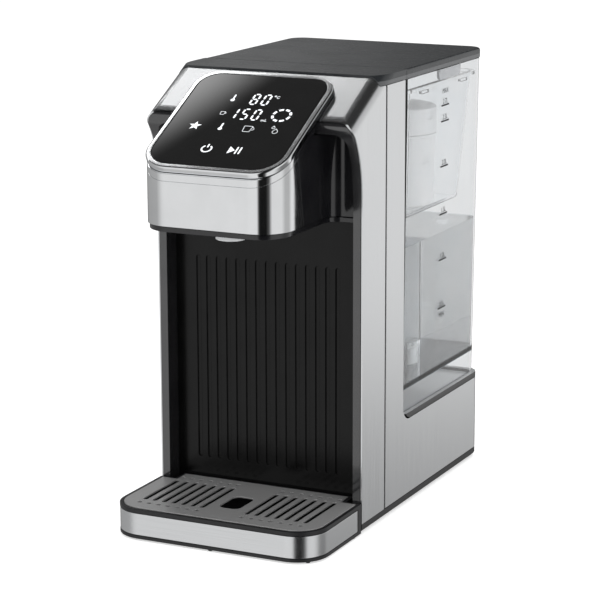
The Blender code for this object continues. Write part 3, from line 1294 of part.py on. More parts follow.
def make_rear():
    """L-shaped rear panel with vents, the gland for the mains lead and four screws."""
    edge = HALF - REAR_CORNER - CLEAR
    low = UPSTAND_TOP + CLEAR
    loops = [[(-edge, low), (edge, low), (edge, WINDOW_BOTTOM), (-BAY_LEFT, WINDOW_BOTTOM),
              (-BAY_LEFT, WALL_TOP), (-edge, WALL_TOP)]]
    vent_x = -BAY_LEFT - VENT_SIDE
    for index in range(VENT_COUNT):
        height = VENT_LOW + index * VENT_PITCH
        loops.append(rounded_outline((vent_x - VENT_LENGTH / 2, height - VENT_WIDTH / 2),
                                     (vent_x + VENT_LENGTH / 2, height + VENT_WIDTH / 2),
                                     (VENT_WIDTH / 2,) * 4, SMALL_STEPS))
    screw_x = HALF - REAR_LAP - SCREW_INSET
    places = [(-screw_x, low + SCREW_INSET), (screw_x, low + SCREW_INSET),
              (screw_x, WINDOW_BOTTOM - SCREW_INSET), (-screw_x, WALL_TOP - SCREW_INSET)]
    for place in places:
        loops.append(round_hole(place, SCREW_SHANK + CLEAR, SMALL_SIDES))
    gland_x = HALF - GLAND_SIDE
    loops.append(round_hole((gland_x, GLAND_HEIGHT), GLAND_RADIUS + CLEAR, ROUND_SIDES))
    flat_solid("rear_panel", loops, REAR_INSIDE, REAR_FACE, "XZ", black_satin)
    for number, (x, z) in enumerate(places, 1):
        profile = [(0, SCREW_LENGTH), (SCREW_SHANK, SCREW_LENGTH), (SCREW_SHANK, -CLEAR),
                   (SCREW_RADIUS, -CLEAR), (SCREW_RADIUS, -CLEAR - SCREW_HEAD / 2),
                   (SCREW_RADIUS - SCREW_HEAD / 2, -CLEAR - SCREW_HEAD), (0, -CLEAR - SCREW_HEAD)]
        turned(f"rear_screw_{number}", profile, (x, REAR_FACE, z), zinc, SMALL_SIDES, "Y")
    seat = REAR_THICK + CLEAR
    collar = seat + GLAND_FLANGE_THICK
    profile = [(GLAND_TAIL, GLAND_LENGTH), (GLAND_TAIL, collar), (GLAND_FLANGE, collar),
               (GLAND_FLANGE, seat), (GLAND_RADIUS, seat), (GLAND_RADIUS, 0), (GLAND_BORE, 0),
               (GLAND_BORE, GLAND_LENGTH)]
    turned("cord_gland", profile, (gland_x, REAR_FACE, GLAND_HEIGHT), rubber, lying="Y")


make_front_shell()
make_side_panels()
make_covers()
make_base()
make_niche()
make_head()
make_display()
make_outlet()
make_tray()
make_bay()
make_dock()
make_tank_group()
make_pump()
make_heater()
make_power_board()
make_rear()
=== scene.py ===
"""Looks of a hot water dispenser: finishes, detailed covers, the lit display, and water in its clear tank."""
import math

import bpy
from mathutils import Matrix, Vector


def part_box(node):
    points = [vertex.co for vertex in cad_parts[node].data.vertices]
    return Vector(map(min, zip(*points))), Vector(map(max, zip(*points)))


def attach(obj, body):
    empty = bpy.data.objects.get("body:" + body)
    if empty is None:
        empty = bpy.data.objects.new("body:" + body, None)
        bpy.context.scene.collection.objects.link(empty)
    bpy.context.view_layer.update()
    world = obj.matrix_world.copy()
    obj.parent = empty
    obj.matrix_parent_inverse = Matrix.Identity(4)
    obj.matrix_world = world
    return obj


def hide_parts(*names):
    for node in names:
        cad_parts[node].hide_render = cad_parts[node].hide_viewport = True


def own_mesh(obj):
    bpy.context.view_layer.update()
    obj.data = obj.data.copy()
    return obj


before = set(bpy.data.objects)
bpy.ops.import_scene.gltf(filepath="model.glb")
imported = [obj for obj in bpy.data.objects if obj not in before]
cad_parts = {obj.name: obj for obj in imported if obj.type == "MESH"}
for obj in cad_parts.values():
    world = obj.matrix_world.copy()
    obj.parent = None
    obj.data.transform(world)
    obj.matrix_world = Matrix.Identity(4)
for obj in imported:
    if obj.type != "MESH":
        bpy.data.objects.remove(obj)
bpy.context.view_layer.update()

# Camera, fitted to the photograph's straight edges
IMAGE_WIDTH = 600
FOCAL_PIXELS = 2346.6
SENSOR = 36.0
CAMERA_PLACE = (0.7031, -1.4597, 0.5114)
CAMERA_YAW = math.radians(25.81)
CAMERA_PITCH = math.radians(12.84)
CAMERA_ROLL = math.radians(-0.16)

# Casing, in metres
FRONT = -0.0715
HALF = 0.0775
REAR = 0.1465
TRAY_FRONT = -0.1465
TOP = 0.3100
SHEET = 0.0010
GAP = 0.0003
OVER = 0.0100
FINE = 0.00002
SEAM = FRONT + 0.0383
SEAM_GAP = 0.0022
LID_SEAM = FRONT + 0.0730
COVER_FRONT = FRONT + 0.0312
COVER_LOW = 0.3033
CASE_TOP = 0.3030
CASE_LOW = 0.0071
REAR_CORNER = 0.0120
REAR_LAP = 0.0175
EDGE_ROUND = 0.0100
COVER_BEVEL = 0.0018
TILT = math.radians(28.0)
RISE = math.tan(TILT)
REACH = 1 / math.cos(TILT)
NOSE_Y = FRONT - 0.0178
NOSE_Z = 0.2826
SWEEP_START = (FRONT + 0.0010, 0.2280)
SWEEP_LOW_SHARES = (0.0, 0.50)
SWEEP_HIGH_SHARES = (0.37, 0.80)
SWEEP_STEPS = 22
NOSE_ROUND = 0.0110
NOSE_STEPS = 8
WINDOW_LOW = 0.0620
WINDOW_CORNER = 0.0110
WINDOW_MARGIN = 0.0018
ARC_STEPS = 14
SMOOTH = math.radians(40)
EDGE_ANGLE = 30
STEEP_ANGLE = 50
SQUARE = (0, 0, 0, 0)
HOLE_SIDES = 48
TURN_STEPS = 64
DOME_STEPS = 10

# Niche and head
NICHE_HALF = 0.0707
NICHE_TOP = 0.2760
NICHE_CORNER = 0.0090
PANEL_FACE = FRONT + 0.0140
PANEL_BACK = PANEL_FACE + 0.0025
RIBS_BESIDE = 7
RIB_PITCH = 0.0076
RIB_WIDTH = 0.0030
RIB_DEPTH = 0.0012
RIB_LOW = 0.0360
RIB_HIGH = 0.1810
HEAD_HALF = 0.0520
HEAD_CORNER = 0.0220
HEAD_FRONT = TRAY_FRONT + 0.0008
HEAD_LOW = 0.2183
HEAD_WALL = 0.0020
HEAD_END_LOW = FRONT - 0.0360
HEAD_END_HIGH = FRONT - 0.0445
HEAD_FLOOR = 0.2143
RIM_DROP = 0.0046
RIM_GROOVE = 0.0003
FLARE = 0.0110
FLARE_Y = FRONT + 0.0070 - FLARE

# Display plate, laid in its own tilted plane
DISPLAY_BACK = 0.0220
TRAY_REACH = 0.0750
DISPLAY_RISE = 0.0050
FRAME_THICK = 0.0043
FRAME_RIM = 0.0038
FRAME_LEDGE = 0.0022
FRAME_CORNERS = (0.0220, 0.0180)
FRAME_BEVEL = 0.0014
GLASS_SINK = 0.0002
GLASS_THICK = 0.0014
INK = 0.00006

# Tray
BAND_LOW = 0.0040
BAND_HIGH = 0.0190
BAND_END = FRONT - 0.0055
TRAY_CORNER = 0.0225
TRAY_LOW = 0.0013
TRAY_TOP = 0.0222
TONGUE = 0.0660

# Tank
BAY_LEFT = -0.0423
TANK_GAP = 0.0006
TANK_LOW = 0.0668
TANK_TOP = 0.3027
TANK_WALL = 0.0024
TANK_FLOOR = 0.0830
TANK_FLOOR_THICK = 0.0030
TANK_CORNER = 0.0110
TANK_SMALL_CORNER = 0.0030
TANK_LEAN = 0.0020
WATER_LEVEL = 0.1845
WATER_INSET = 0.0002
TANK_LEFT = BAY_LEFT + TANK_GAP
TANK_RIGHT = HALF - TANK_GAP
TANK_FRONT = LID_SEAM + TANK_GAP
TANK_REAR = REAR - TANK_GAP
VALVE_PLACE = (0.0176, 0.0740)
VALVE_RADIUS = 0.0100
LEDGE_TOP = 0.2910
LEDGE_THICK = 0.0020
LEDGE_LENGTH = 0.0120
LEDGE_REACH = 0.0024
LEDGE_SHARES = (0.25, 0.75)

# Funnel, filter and lid
FUNNEL_TOP = 0.2937
FUNNEL_DEPTH = 0.0930
FUNNEL_WALL = 0.0018
FUNNEL_RIM = 0.0024
FUNNEL_LIP = 0.0022
FUNNEL_DRAFT = (0.0060, 0.0120)
FUNNEL_GAP = 0.0008
FUNNEL_CORNER = 0.0100
FILTER_PLACE = (0.0360, 0.0765)
FILTER_RADIUS = 0.0280
FILTER_LOW = 0.2028
FILTER_JOINT = 0.2548
FILTER_TOP = 0.2768
FILTER_DRAFT = 0.0020
FILTER_DOME = 0.0040
FILTER_SPIGOT = (0.0080, 0.0050)
COVER_RECESS = 0.0035
COVER_RIM = 0.0080
TAB_REAR = 0.0620
TAB_WIDTH = 0.0400
TAB_DROP = 0.0085
TAB_THICK = 0.0020
TAB_CORNER = 0.0040

# Litre scale printed on the tank: heights of the lines and what is beside them
SCALE_MIDDLE = 0.0730
SCALE_LINE = 0.0140
SCALE_STROKE = 0.0012
SCALE_LETTER = 0.0052
SCALE_RAISE = 0.0012
SCALE_MARKS = ((0.2764, "2.7L"), (0.2651, "2.5L"), (0.2326, "2.0L"), (0.1980, "1.5L"), (0.1646, "1.0L"),
               (0.1290, "0.5L"))
SCALE_WORDS = ((0.2838, "MAX"), (0.1208, "MIN"))

# Smaller sizes of the casing, niche and head
INNER = HALF - SHEET - GAP
WING = NICHE_HALF - GAP
HOUSING_PROUD = 0.0004
HEAD_BASE_INSET = 0.0012
NECK_RAKE = 0.0004
NECK_WALL = 0.0025
NECK_TOP_GAP = 0.0012
NECK_STEP_GAP = 0.0008
NOZZLE_Y = -0.1100
NOZZLE_LOW = 0.2063
NOZZLE_RADIUS = 0.0105
NOZZLE_BORE = 0.0040
NOZZLE_LIP = 0.0010
NOZZLE_TOP = 0.2310
NOZZLE_FLANGE = (0.0135, 0.2202, 0.2222)
NOZZLE_STEM = 0.0060

# Drip tray and grid
TRAY_RIM = 0.0026
TRAY_LEDGE = 0.0022
TRAY_FLOOR = 0.0022
TRAY_GAP = 0.0006
BAND_THICK = 0.0008
BAND_INSET = 0.0002
NUB_RADIUS = 0.0016
NUB_INSET = 0.0023
NUB_REAR = 0.0095
GRID_THICK = 0.0012
GRID_PROUD = 0.0004
GRID_LOW = TRAY_TOP + GRID_PROUD - GRID_THICK
SLOT_COUNT = 7
SLOT_FIRST = 0.0169
SLOT_PITCH = 0.0073
SLOT_WIDTH = 0.0034
SLOT_FRONT = 0.0540
SLOT_REAR = 0.0048
DOT_FRONT = 0.0602
DOT_REAR = -0.0014
DOT_WIDTH = 0.0032
FINGER_PLACE = FRONT - 0.0340
FINGER_SIZE = (0.0155, 0.0270)
FINGER_CORNER = 0.0050

# Broken and rolled edges
SHEET_ROLL = 0.0004
COVER_EDGE = 0.0012
SMALL_EDGE = 0.0003
ARCH_LIP = 0.0007
RIB_EDGE = 0.0008

# Lit marks, in the plane of the glass from the middle of the plate
DIGIT_SIZE = (0.0042, 0.0112)
DIGIT_STROKE = 0.0013
DIGIT_GAP = 0.0005
DIGIT_LEAN = 0.02
DIGIT_PARTS = {
    "8": ("top", "upper_right", "lower_right", "bottom", "lower_left", "upper_left", "middle"),
    "0": ("top", "upper_right", "lower_right", "bottom", "lower_left", "upper_left"),
    "1": ("upper_right", "lower_right"),
    "5": ("top", "upper_left", "middle", "lower_right", "bottom"),
}
DIGIT_SPOTS = {
    "top": ((0, 2), (1, 2)), "middle": ((0, 1), (1, 1)), "bottom": ((0, 0), (1, 0)),
    "upper_left": ((0, 2), (0, 1)), "upper_right": ((1, 2), (1, 1)),
    "lower_left": ((0, 1), (0, 0)), "lower_right": ((1, 1), (1, 0)),
}
DIGIT_PLACES = (("8", (-0.0006, 0.0186)), ("0", (0.0076, 0.0186)), ("1", (-0.0091, 0.0017)),
                ("5", (-0.0007, 0.0017)), ("0", (0.0077, 0.0017)))
RING_PLACE = (0.0278, 0.0086)
RING_RADII = (0.0053, 0.0071)
RING_DASHES = 8
RING_SPREAD = 15
STAR_PLACE = (-0.0285, -0.0086)
STAR_RADII = (0.0046, 0.0020)
STAR_CORNERS = 10
THERMOMETER_PLACES = ((-0.0144, 0.0220, 0.0036), (-0.0094, -0.0100, 0.0036))
CUP_PLACES = ((-0.0148, 0.0070, 0.0032), (0.0106, -0.0083, 0.0060))
DROP_PLACES = ((0.0306, -0.0094, 0.0020), (0.0278, -0.0052, 0.0012))
POWER_PLACE = (-0.0090, -0.0322)
POWER_RADII = (0.0029, 0.0040)
PLAY_PLACE = (0.0070, -0.0318)
PLAY_SIZE = (0.0045, 0.0038)
PAUSE_SHIFTS = (0.0057, 0.0083)
DEGREE_PLACE = (0.0148, 0.0290)
DEGREE_RADII = (0.0004, 0.0008)
UNIT_PLACES = (("C", 0.0036, (0.0172, 0.0266)), ("mL", 0.0036, (0.0176, 0.0008)))
THERMOMETER_SHARES = (0.42, 0.95, 0.34, 1.5)
CUP_SHARES = (0.5, 0.32, 0.1, 0.05, 0.28)
DROP_SHARES = (0.82, 0.45, 0.1, 1.7)
POWER_BAR_SHARES = (0.4, 1.3)
THIN_STROKE = 0.0003
BOLD_STROKE = 0.0011

# Fine touches
VALVE_ROOM = 0.1020
MENISCUS = (0.0012, 0.0003)
FUNNEL_FOOT = 0.0030
FILTER_COLLAR = 0.0020
SCREWS = 4
CROSS = (0.0030, 0.0007, 0.0008)
# Faces turned up at least this much get the dock's painted light
UPWARD = 0.8
BAY_EDGE = 0.0045
# Height of the painted highlight: a lighter band painted along the foot of the top cover's and the lid's
# sides
COVER_PAINTED_HIGHLIGHT = 0.0028

# Studio: grey of the walls seen in reflections, by the direction they lie in
STUDIO_WALLS = ((-180, 0.04), (-170, 0.06), (-164, 0.16), (-158, 0.12), (-153, 0.42), (-149, 0.36),
                (-144, 0.13), (-138, 0.14), (-126, 0.44), (-100, 0.48), (-62, 0.52), (-40, 0.90),
                (-20, 1.0), (8, 1.0), (15, 0.06), (20, 0.01), (40, 0.01), (50, 0.12), (60, 0.95),
                (96, 0.95), (112, 0.60), (130, 0.60), (145, 1.0), (168, 1.0), (176, 0.10), (180, 0.04))
BEHIND = (math.radians(80), math.radians(110))
FLOOR_FADE = (-0.315, -0.215)
FLOOR_FADE_DEPTH = 0.58

# Its ceiling, by how far a direction leans to the rear left, and the strip light that the glass shows
CEILING_START = (0.45, 0.62)
CEILING_RANGE = (-1.5, 1.5)
CEILING = ((-1.5, 0.03), (0.25, 0.03), (0.60, 0.18), (0.83, 0.24), (0.90, 0.60), (1.05, 0.70),
           (1.15, 0.18), (1.5, 0.18))
STRIP_START = (0.829, 0.852)
STRIP_END = (0.868, 0.884)
STRIP_LEVEL = 4.8
REAR_WINDOW = (-0.10, 0.30)
INSIDE_LIFT = 0.45
AMBIENT = 0.80
STUDIO_LEVEL = 0.80
FLOOR_SIZE = 12.0
FLOOR_SOCKETS = (("Base Color", (0.80, 0.80, 0.80, 1)), ("Roughness", 1.0), ("Specular IOR Level", 0.0),
                 ("Emission Color", (1, 1, 1, 1)), ("Emission Strength", 0.55))
LAMPS = (("key_lamp", (-1.1, -1.3, 1.8), 1.4, 16.0), ("fill_lamp", (1.5, -0.6, 1.2), 1.2, 7.0),
         ("top_lamp", (0.2, 0.5, 2.0), 1.4, 10.0))
LAMP_AIM = Vector((0, 0, 0.15))


# Modelling helpers: each works as a hand would, with what it needs selected first
def pick(*pieces):
    """Select only these pieces, the first of them active."""
    if bpy.context.object and bpy.context.object.mode != "OBJECT":
        bpy.ops.object.mode_set(mode="OBJECT")
    bpy.ops.object.select_all(action="DESELECT")
    for piece in pieces:
        piece.select_set(True)
    if pieces:
        bpy.context.view_layer.objects.active = pieces[0]


def choose(piece, kind, test):
    """Open a piece for editing with the faces, edges or corners that pass a test selected."""
    pick(piece)
    bpy.ops.object.mode_set(mode="EDIT")
    bpy.ops.mesh.select_mode(type=kind)
    bpy.ops.mesh.select_all(action="DESELECT")
    bpy.ops.object.mode_set(mode="OBJECT")
    mesh = piece.data
    if kind == "FACE":
        for face in mesh.polygons:
            face.select = test(face.center, face.normal)
    elif kind == "EDGE":
        for edge in mesh.edges:
            edge.select = test(*(mesh.vertices[index].co for index in edge.vertices))
    else:
        for corner in mesh.vertices:
            corner.select = test(corner.co)
    bpy.ops.object.mode_set(mode="EDIT")


def close():
    """Leave edit mode."""
    bpy.ops.object.mode_set(mode="OBJECT")


def place_in_mesh(piece):
    """Give the mesh the object's place, turn and size."""
    pick(piece)
    bpy.ops.object.transform_apply(location=True, rotation=True, scale=True)
    return piece


def slab(name, low, high):
    """A box between two corners, to be shaped further."""
    low = Vector(low)
    high = Vector(high)
    pick()
    bpy.ops.mesh.primitive_cube_add(size=1, location=(low + high) / 2)
    piece = bpy.context.object
    piece.name = name
    piece.scale = high - low
    return place_in_mesh(piece)


def rod(name, radius, start, end, sides=32):
    """A round bar between two points."""
    start = Vector(start)
    end = Vector(end)
    pick()
    bpy.ops.mesh.primitive_cylinder_add(vertices=sides, radius=radius, depth=(end - start).length,
                                        location=(start + end) / 2)
    piece = bpy.context.object
    piece.name = name
    piece.rotation_euler = (end - start).to_track_quat("Z", "Y").to_euler()
    return place_in_mesh(piece)


def round_edges(piece, width, steps, test):
    """Round the edges that pass a test."""
    choose(piece, "EDGE", test)
    bpy.ops.mesh.bevel(offset=width, segments=steps, affect="EDGES", clamp_overlap=True)
    close()
    return piece


def sketch(name, points):
    """A chain of corners drawn point by point, left open for editing and selected all over."""
    pick()
    bpy.ops.mesh.primitive_plane_add(size=OVER, location=points[0])
    piece = bpy.context.object
    piece.name = name
    place_in_mesh(piece)
    bpy.ops.object.mode_set(mode="EDIT")
    bpy.ops.mesh.select_mode(type="VERT")
    bpy.ops.mesh.select_all(action="SELECT")
    bpy.ops.mesh.merge(type="CENTER")
    for before, after in zip(points, points[1:]):
        bpy.ops.mesh.extrude_region_move(TRANSFORM_OT_translate={"value": after - before})
    bpy.ops.mesh.select_all(action="SELECT")
    return piece


def drawn(name, outline, plane, low, high):
    """Draw an outline corner by corner, fill it, and pull it out between two depths."""
    first, second, third = {"XY": (0, 1, 2), "XZ": (0, 2, 1), "YZ": (1, 2, 0)}[plane]
    points = [Vector((0, 0, 0)) for place in outline]
    for point, place in zip(points, outline):
        point[first], point[second], point[third] = (*place, low)
    piece = sketch(name, points)
    bpy.ops.mesh.edge_face_add()
    depth = Vector((0, 0, 0))
    depth[third] = high - low
    bpy.ops.mesh.extrude_region_move(TRANSFORM_OT_translate={"value": depth})
    bpy.ops.mesh.select_all(action="SELECT")
    bpy.ops.mesh.normals_make_consistent(inside=False)
    close()
    return piece


def apply_step(piece, kind, **values):
    """Add a modifier, set it and apply it."""
    pick(piece)
    step = piece.modifiers.new(kind.lower(), kind)
    for name, value in values.items():
        setattr(step, name, value)
    bpy.ops.object.modifier_apply(modifier=step.name)
    return piece


def combine(piece, tool, operation):
    """Apply one Boolean and throw the tool away."""
    apply_step(piece, "BOOLEAN", operation=operation, solver="EXACT", object=tool)
    mesh = tool.data
    bpy.data.objects.remove(tool)
    bpy.data.meshes.remove(mesh)
    return piece


def cut(piece, tool):
    return combine(piece, tool, "DIFFERENCE")


def join(piece, tool):
    return combine(piece, tool, "UNION")


def keep_common(piece, tool):
    return combine(piece, tool, "INTERSECT")


def soften(piece, width, steps=2, angle=EDGE_ANGLE):
    """Break the sharp edges and shade the piece smooth, with its flat faces kept flat."""
    apply_step(piece, "WELD", merge_threshold=FINE / 2)
    if width:
        apply_step(piece, "BEVEL", width=width, segments=steps, limit_method="ANGLE",
                   angle_limit=math.radians(angle), use_clamp_overlap=True, miter_outer="MITER_ARC")
    pick(piece)
    bpy.ops.object.shade_smooth_by_angle(angle=SMOOTH)
    return apply_step(piece, "WEIGHTED_NORMAL", keep_sharp=True)


def arc(centre, radius, start, end, steps=ARC_STEPS):
    """Points on a round stretch between two angles in degrees."""
    points = []
    for step in range(steps + 1):
        angle = math.radians(start + (end - start) * step / steps)
        points.append((centre[0] + radius * math.cos(angle), centre[1] + radius * math.sin(angle)))
    return points


def rounded(low, high, radii, steps=ARC_STEPS):
    """A rectangle's outline with its own radius at each corner, front left round to rear left."""
    corners = (
        ((low[0], low[1]), (1, 1), 180),
        ((high[0], low[1]), (-1, 1), 270),
        ((high[0], high[1]), (-1, -1), 0),
        ((low[0], high[1]), (1, -1), 90),
    )
    points = []
    for (corner, inward, start), radius in zip(corners, radii):
        if radius == 0:
            points.append(corner)
            continue
        centre = (corner[0] + inward[0] * radius, corner[1] + inward[1] * radius)
        points.extend(arc(centre, radius, start, start + 90, steps))
    return points


def capsule(centre, width, length, steps=6):
    """A slot's outline along the second axis with round ends."""
    reach = length / 2 - width / 2
    top = arc((centre[0], centre[1] + reach), width / 2, 0, 180, steps)
    return top + arc((centre[0], centre[1] - reach), width / 2, 180, 360, steps)


def copy_of(node, name):
    """A welded copy of a carried-over part, to be given its fine edges."""
    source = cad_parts[node]
    piece = bpy.data.objects.new(name, source.data.copy())
    bpy.context.scene.collection.objects.link(piece)
    choose(piece, "VERT", lambda place: True)
    bpy.ops.mesh.remove_doubles(threshold=FINE)
    bpy.ops.mesh.dissolve_limited(angle_limit=math.radians(1))
    close()
    return piece


def dress(piece, finish, body, *nodes):
    """Give a finished piece its material, its body and the nodes it stands for."""
    piece.data.materials.clear()
    piece.data.materials.append(materials[finish])
    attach(piece, body)
    if nodes:
        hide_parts(*nodes)


def slope_height(y):
    """Height of the casing's sloped face at a depth."""
    return NOSE_Z + (y - NOSE_Y) * RISE


def display_height(y):
    """Height of the display's top plane at a depth."""
    return slope_height(y) + DISPLAY_RISE * REACH


def frame_underside(y):
    """Height just under the display frame at a depth."""
    return display_height(y) - FRAME_THICK * REACH - GAP


def tapered(name, outline, low, high, grow, centre):
    """A drawn solid whose top outline is larger or smaller than its bottom one."""
    piece = drawn(name, outline, "XY", low, high)
    middle = (low + high) / 2
    choose(piece, "VERT", lambda place: place.z > middle)
    bpy.ops.transform.resize(value=(grow[0], grow[1], 1), center_override=(*centre, high))
    close()
    return piece


def complete(piece, width, finish, body, *nodes, steps=2, angle=EDGE_ANGLE):
    """Break a piece's edges, then dress it."""
    soften(piece, width, steps, angle)
    dress(piece, finish, body, *nodes)


def both_sides(path):
    """A plan from the path along its right side and that path's mirror image."""
    return path + [(-x, y) for x, y in reversed(path)]


def wall_plan(half, front, corner, end, insets):
    """Plan of a wall round two front corners, between an outer and an inner inset."""
    outer, inner = (
        [(inset - half, end), *arc((corner - half, front + corner), corner - inset, 180, 270),
         *arc((half - corner, front + corner), corner - inset, 270, 360), (half - inset, end)]
        for inset in insets)
    return outer + inner[::-1]


def turned(name, profile, place):
    """Spin a profile of radii and heights round an upright axis into a closed solid."""
    points = [Vector((place[0] + radius, place[1], height)) for radius, height in profile]
    on_axis = profile[0][0] == 0 and profile[-1][0] == 0
    piece = sketch(name, points if on_axis else [*points, points[0]])
    bpy.ops.mesh.remove_doubles(threshold=FINE)
    bpy.ops.mesh.select_all(action="SELECT")
    bpy.ops.mesh.spin(steps=TURN_STEPS, angle=math.tau, center=(*place, 0), axis=(0, 0, 1))
    bpy.ops.mesh.select_all(action="SELECT")
    bpy.ops.mesh.remove_doubles(threshold=FINE)
    bpy.ops.mesh.select_all(action="SELECT")
    bpy.ops.mesh.normals_make_consistent(inside=False)
    close()
    return piece


def gather(name, pieces):
    """Make one mesh of several."""
    pick(*pieces)
    bpy.ops.object.join()
    whole = bpy.context.object
    whole.name = name
    return whole


def lay_tilted(piece):
    """Lay a piece that was drawn flat in the display's tilted plane."""
    middle = FRONT + (DISPLAY_BACK - TRAY_REACH) / 2
    piece.location = (0, middle, display_height(middle))
    piece.rotation_euler = (TILT, 0, 0)
    return place_in_mesh(piece)


# Casing
def casing_profile(proud, lowered, rear, top_rear):
    """Side outline of the casing's front: upright, swept forward to the nose, then up the slope."""
    start = Vector((SWEEP_START[0] - proud, SWEEP_START[1]))
    nose = Vector((NOSE_Y - proud, NOSE_Z - lowered * REACH - proud * RISE))
    span = nose - start
    low = start + Vector((span.x * SWEEP_LOW_SHARES[0], span.y * SWEEP_LOW_SHARES[1]))
    high = start + Vector((span.x * SWEEP_HIGH_SHARES[0], span.y * SWEEP_HIGH_SHARES[1]))
    points = [(start.x, CASE_LOW + GAP)]
    for step in range(SWEEP_STEPS):
        share = step / SWEEP_STEPS
        rest = 1 - share
        point = (start * rest ** 3 + low * (3 * share * rest ** 2)
                 + high * (3 * share ** 2 * rest) + nose * share ** 3)
        if (point - nose).length > NOSE_ROUND:
            points.append((point.x, point.y))
    before = Vector(points[-1])
    after = nose + Vector((1, RISE)).normalized() * NOSE_ROUND
    for step in range(1, NOSE_STEPS + 1):
        share = step / NOSE_STEPS
        rest = 1 - share
        point = before * rest ** 2 + nose * (2 * share * rest) + after * share ** 2
        points.append((point.x, point.y))
    points.append((top_rear[0], slope_height(top_rear[0]) - lowered * REACH))
    points.extend(top_rear[1:])
    points.append((rear, CASE_LOW + GAP))
    return points


def hood(name, half, lowered):
    """A long tunnel laid under the sloped face, with that face's two edges rounded."""
    corner = EDGE_ROUND - lowered
    outline = rounded((-half, -TOP), (half, 0), (0, 0, corner, corner))
    made = drawn(name, outline, "XZ", -TOP, TOP)
    made.location = (0, NOSE_Y, NOSE_Z - lowered * REACH)
    made.rotation_euler = (TILT, 0, 0)
    return place_in_mesh(made)


def make_front_sheet():
    """Steel hood with a rolled edge all round."""
    edge = COVER_FRONT - GAP
    outline = casing_profile(0, 0, SEAM, [edge, (edge, CASE_TOP), (SEAM, CASE_TOP)])
    sheet = drawn("front_sheet", outline, "YZ", -HALF, HALF)
    keep_common(sheet, hood("sheet_outside", HALF, 0))
    cut(sheet, hood("sheet_inside", HALF - SHEET, SHEET))
    complete(sheet, SHEET_ROLL, "brushed_steel", "machine", "front_shell")


def side_outline(side):
    """Plan of a side sheet from its front seam round the rear corner to the lap, there and back."""
    centre = (HALF - REAR_CORNER, REAR - REAR_CORNER)
    outer, inner = (
        [(HALF - inset, SEAM + SEAM_GAP), *arc(centre, REAR_CORNER - inset, 0, 90),
         (HALF - REAR_LAP, REAR - inset)]
        for inset in (0, SHEET))
    return [(side * x, y) for x, y in outer + inner[::-1]]


def make_side_sheets():
    """The two steel sides, the right one cut away for the tank."""
    window = rounded((LID_SEAM - WINDOW_MARGIN, WINDOW_LOW), (REAR + OVER, TOP + OVER),
                     (WINDOW_CORNER, 0, 0, 0))
    for side, name in ((-1, "left"), (1, "right")):
        sheet = drawn(f"{name}_side_sheet", side_outline(side), "XY", CASE_LOW + GAP, CASE_TOP)
        if side > 0:
            cut(sheet, drawn("window_cut", window, "YZ", 0, HALF + OVER))
        complete(sheet, SHEET_ROLL, "brushed_steel", "machine", f"{name}_side_panel")


def make_top_cover():
    """Fixed cover in front, whose front corners follow the hood."""
    outline = rounded((-HALF, COVER_FRONT), (HALF, LID_SEAM - GAP), SQUARE)
    cover = drawn("top_front_cover", outline, "XY", COVER_LOW, TOP)
    raised = (TOP - slope_height(COVER_FRONT)) / REACH
    keep_common(cover, hood("cover_outside", HALF, -raised))
    complete(cover, COVER_EDGE, "graphite", "machine", "top_cover", steps=4)


def make_lid():
    """Lift-off lid with a recess below, and its locating tab."""
    outline = rounded((-HALF, LID_SEAM), (HALF, REAR), (0, 0, REAR_CORNER, REAR_CORNER))
    lid = drawn("tank_lid_moulding", outline, "XY", COVER_LOW, TOP)
    middle = (COVER_LOW + TOP) / 2
    round_edges(lid, COVER_BEVEL, 5, lambda start, end: min(start.z, end.z) > middle)
    recess = rounded((-HALF + COVER_RIM, LID_SEAM + COVER_RIM), (HALF - COVER_RIM, REAR - COVER_RIM),
                     (REAR_CORNER - COVER_RIM,) * 4)
    cut(lid, drawn("lid_recess", recess, "XY", COVER_LOW - OVER, COVER_LOW + COVER_RECESS))
    complete(lid, SMALL_EDGE, "graphite", "lid", "tank_lid")
    middle = REAR - TAB_REAR
    tab_top = COVER_LOW - GAP
    outline = rounded((middle - TAB_WIDTH / 2, tab_top - TAB_DROP), (middle + TAB_WIDTH / 2, tab_top),
                      (TAB_CORNER, TAB_CORNER, 0, 0))
    face = TANK_RIGHT - TANK_WALL - 2 * GAP
    tab = drawn("lid_locating_tab", outline, "YZ", face - TAB_THICK, face)
    complete(tab, SMALL_EDGE, "smoked_tab", "lid", "lid_tab")


# Niche
def make_arch():
    """Black arch that frames the cup niche, its lips broken so that they catch the light."""
    lowered = SHEET + GAP
    outline = casing_profile(HOUSING_PROUD, lowered, PANEL_BACK, [PANEL_BACK])
    arch = drawn("niche_arch", outline, "YZ", -INNER, INNER)
    keep_common(arch, hood("arch_outside", INNER, lowered))
    opening = rounded((-NICHE_HALF, CASE_LOW - OVER), (NICHE_HALF, NICHE_TOP),
                      (0, 0, NICHE_CORNER, NICHE_CORNER))
    cut(arch, drawn("arch_opening", opening, "XZ", TRAY_FRONT, REAR))
    complete(arch, ARCH_LIP, "arch_black", "machine", "niche_housing", steps=3)


def make_back_panel():
    """Ribbed panel at the back of the niche."""
    outline = rounded((-WING, CASE_LOW + GAP), (WING, HEAD_FLOOR - GAP), SQUARE)
    panel = drawn("ribbed_back_panel", outline, "XZ", PANEL_FACE, PANEL_BACK)
    groove = capsule((0, (RIB_LOW + RIB_HIGH) / 2), RIB_WIDTH, RIB_HIGH - RIB_LOW)
    grooves = []
    for index in range(-RIBS_BESIDE, RIBS_BESIDE + 1):
        outline = [(x + index * RIB_PITCH, z) for x, z in groove]
        grooves.append(drawn(f"groove_{index + RIBS_BESIDE}", outline, "XZ", PANEL_FACE - OVER,
                             PANEL_FACE + RIB_DEPTH))
    cut(panel, gather("grooves", grooves))
    complete(panel, RIB_EDGE, "rib_black", "machine", "niche_back_panel", steps=3)


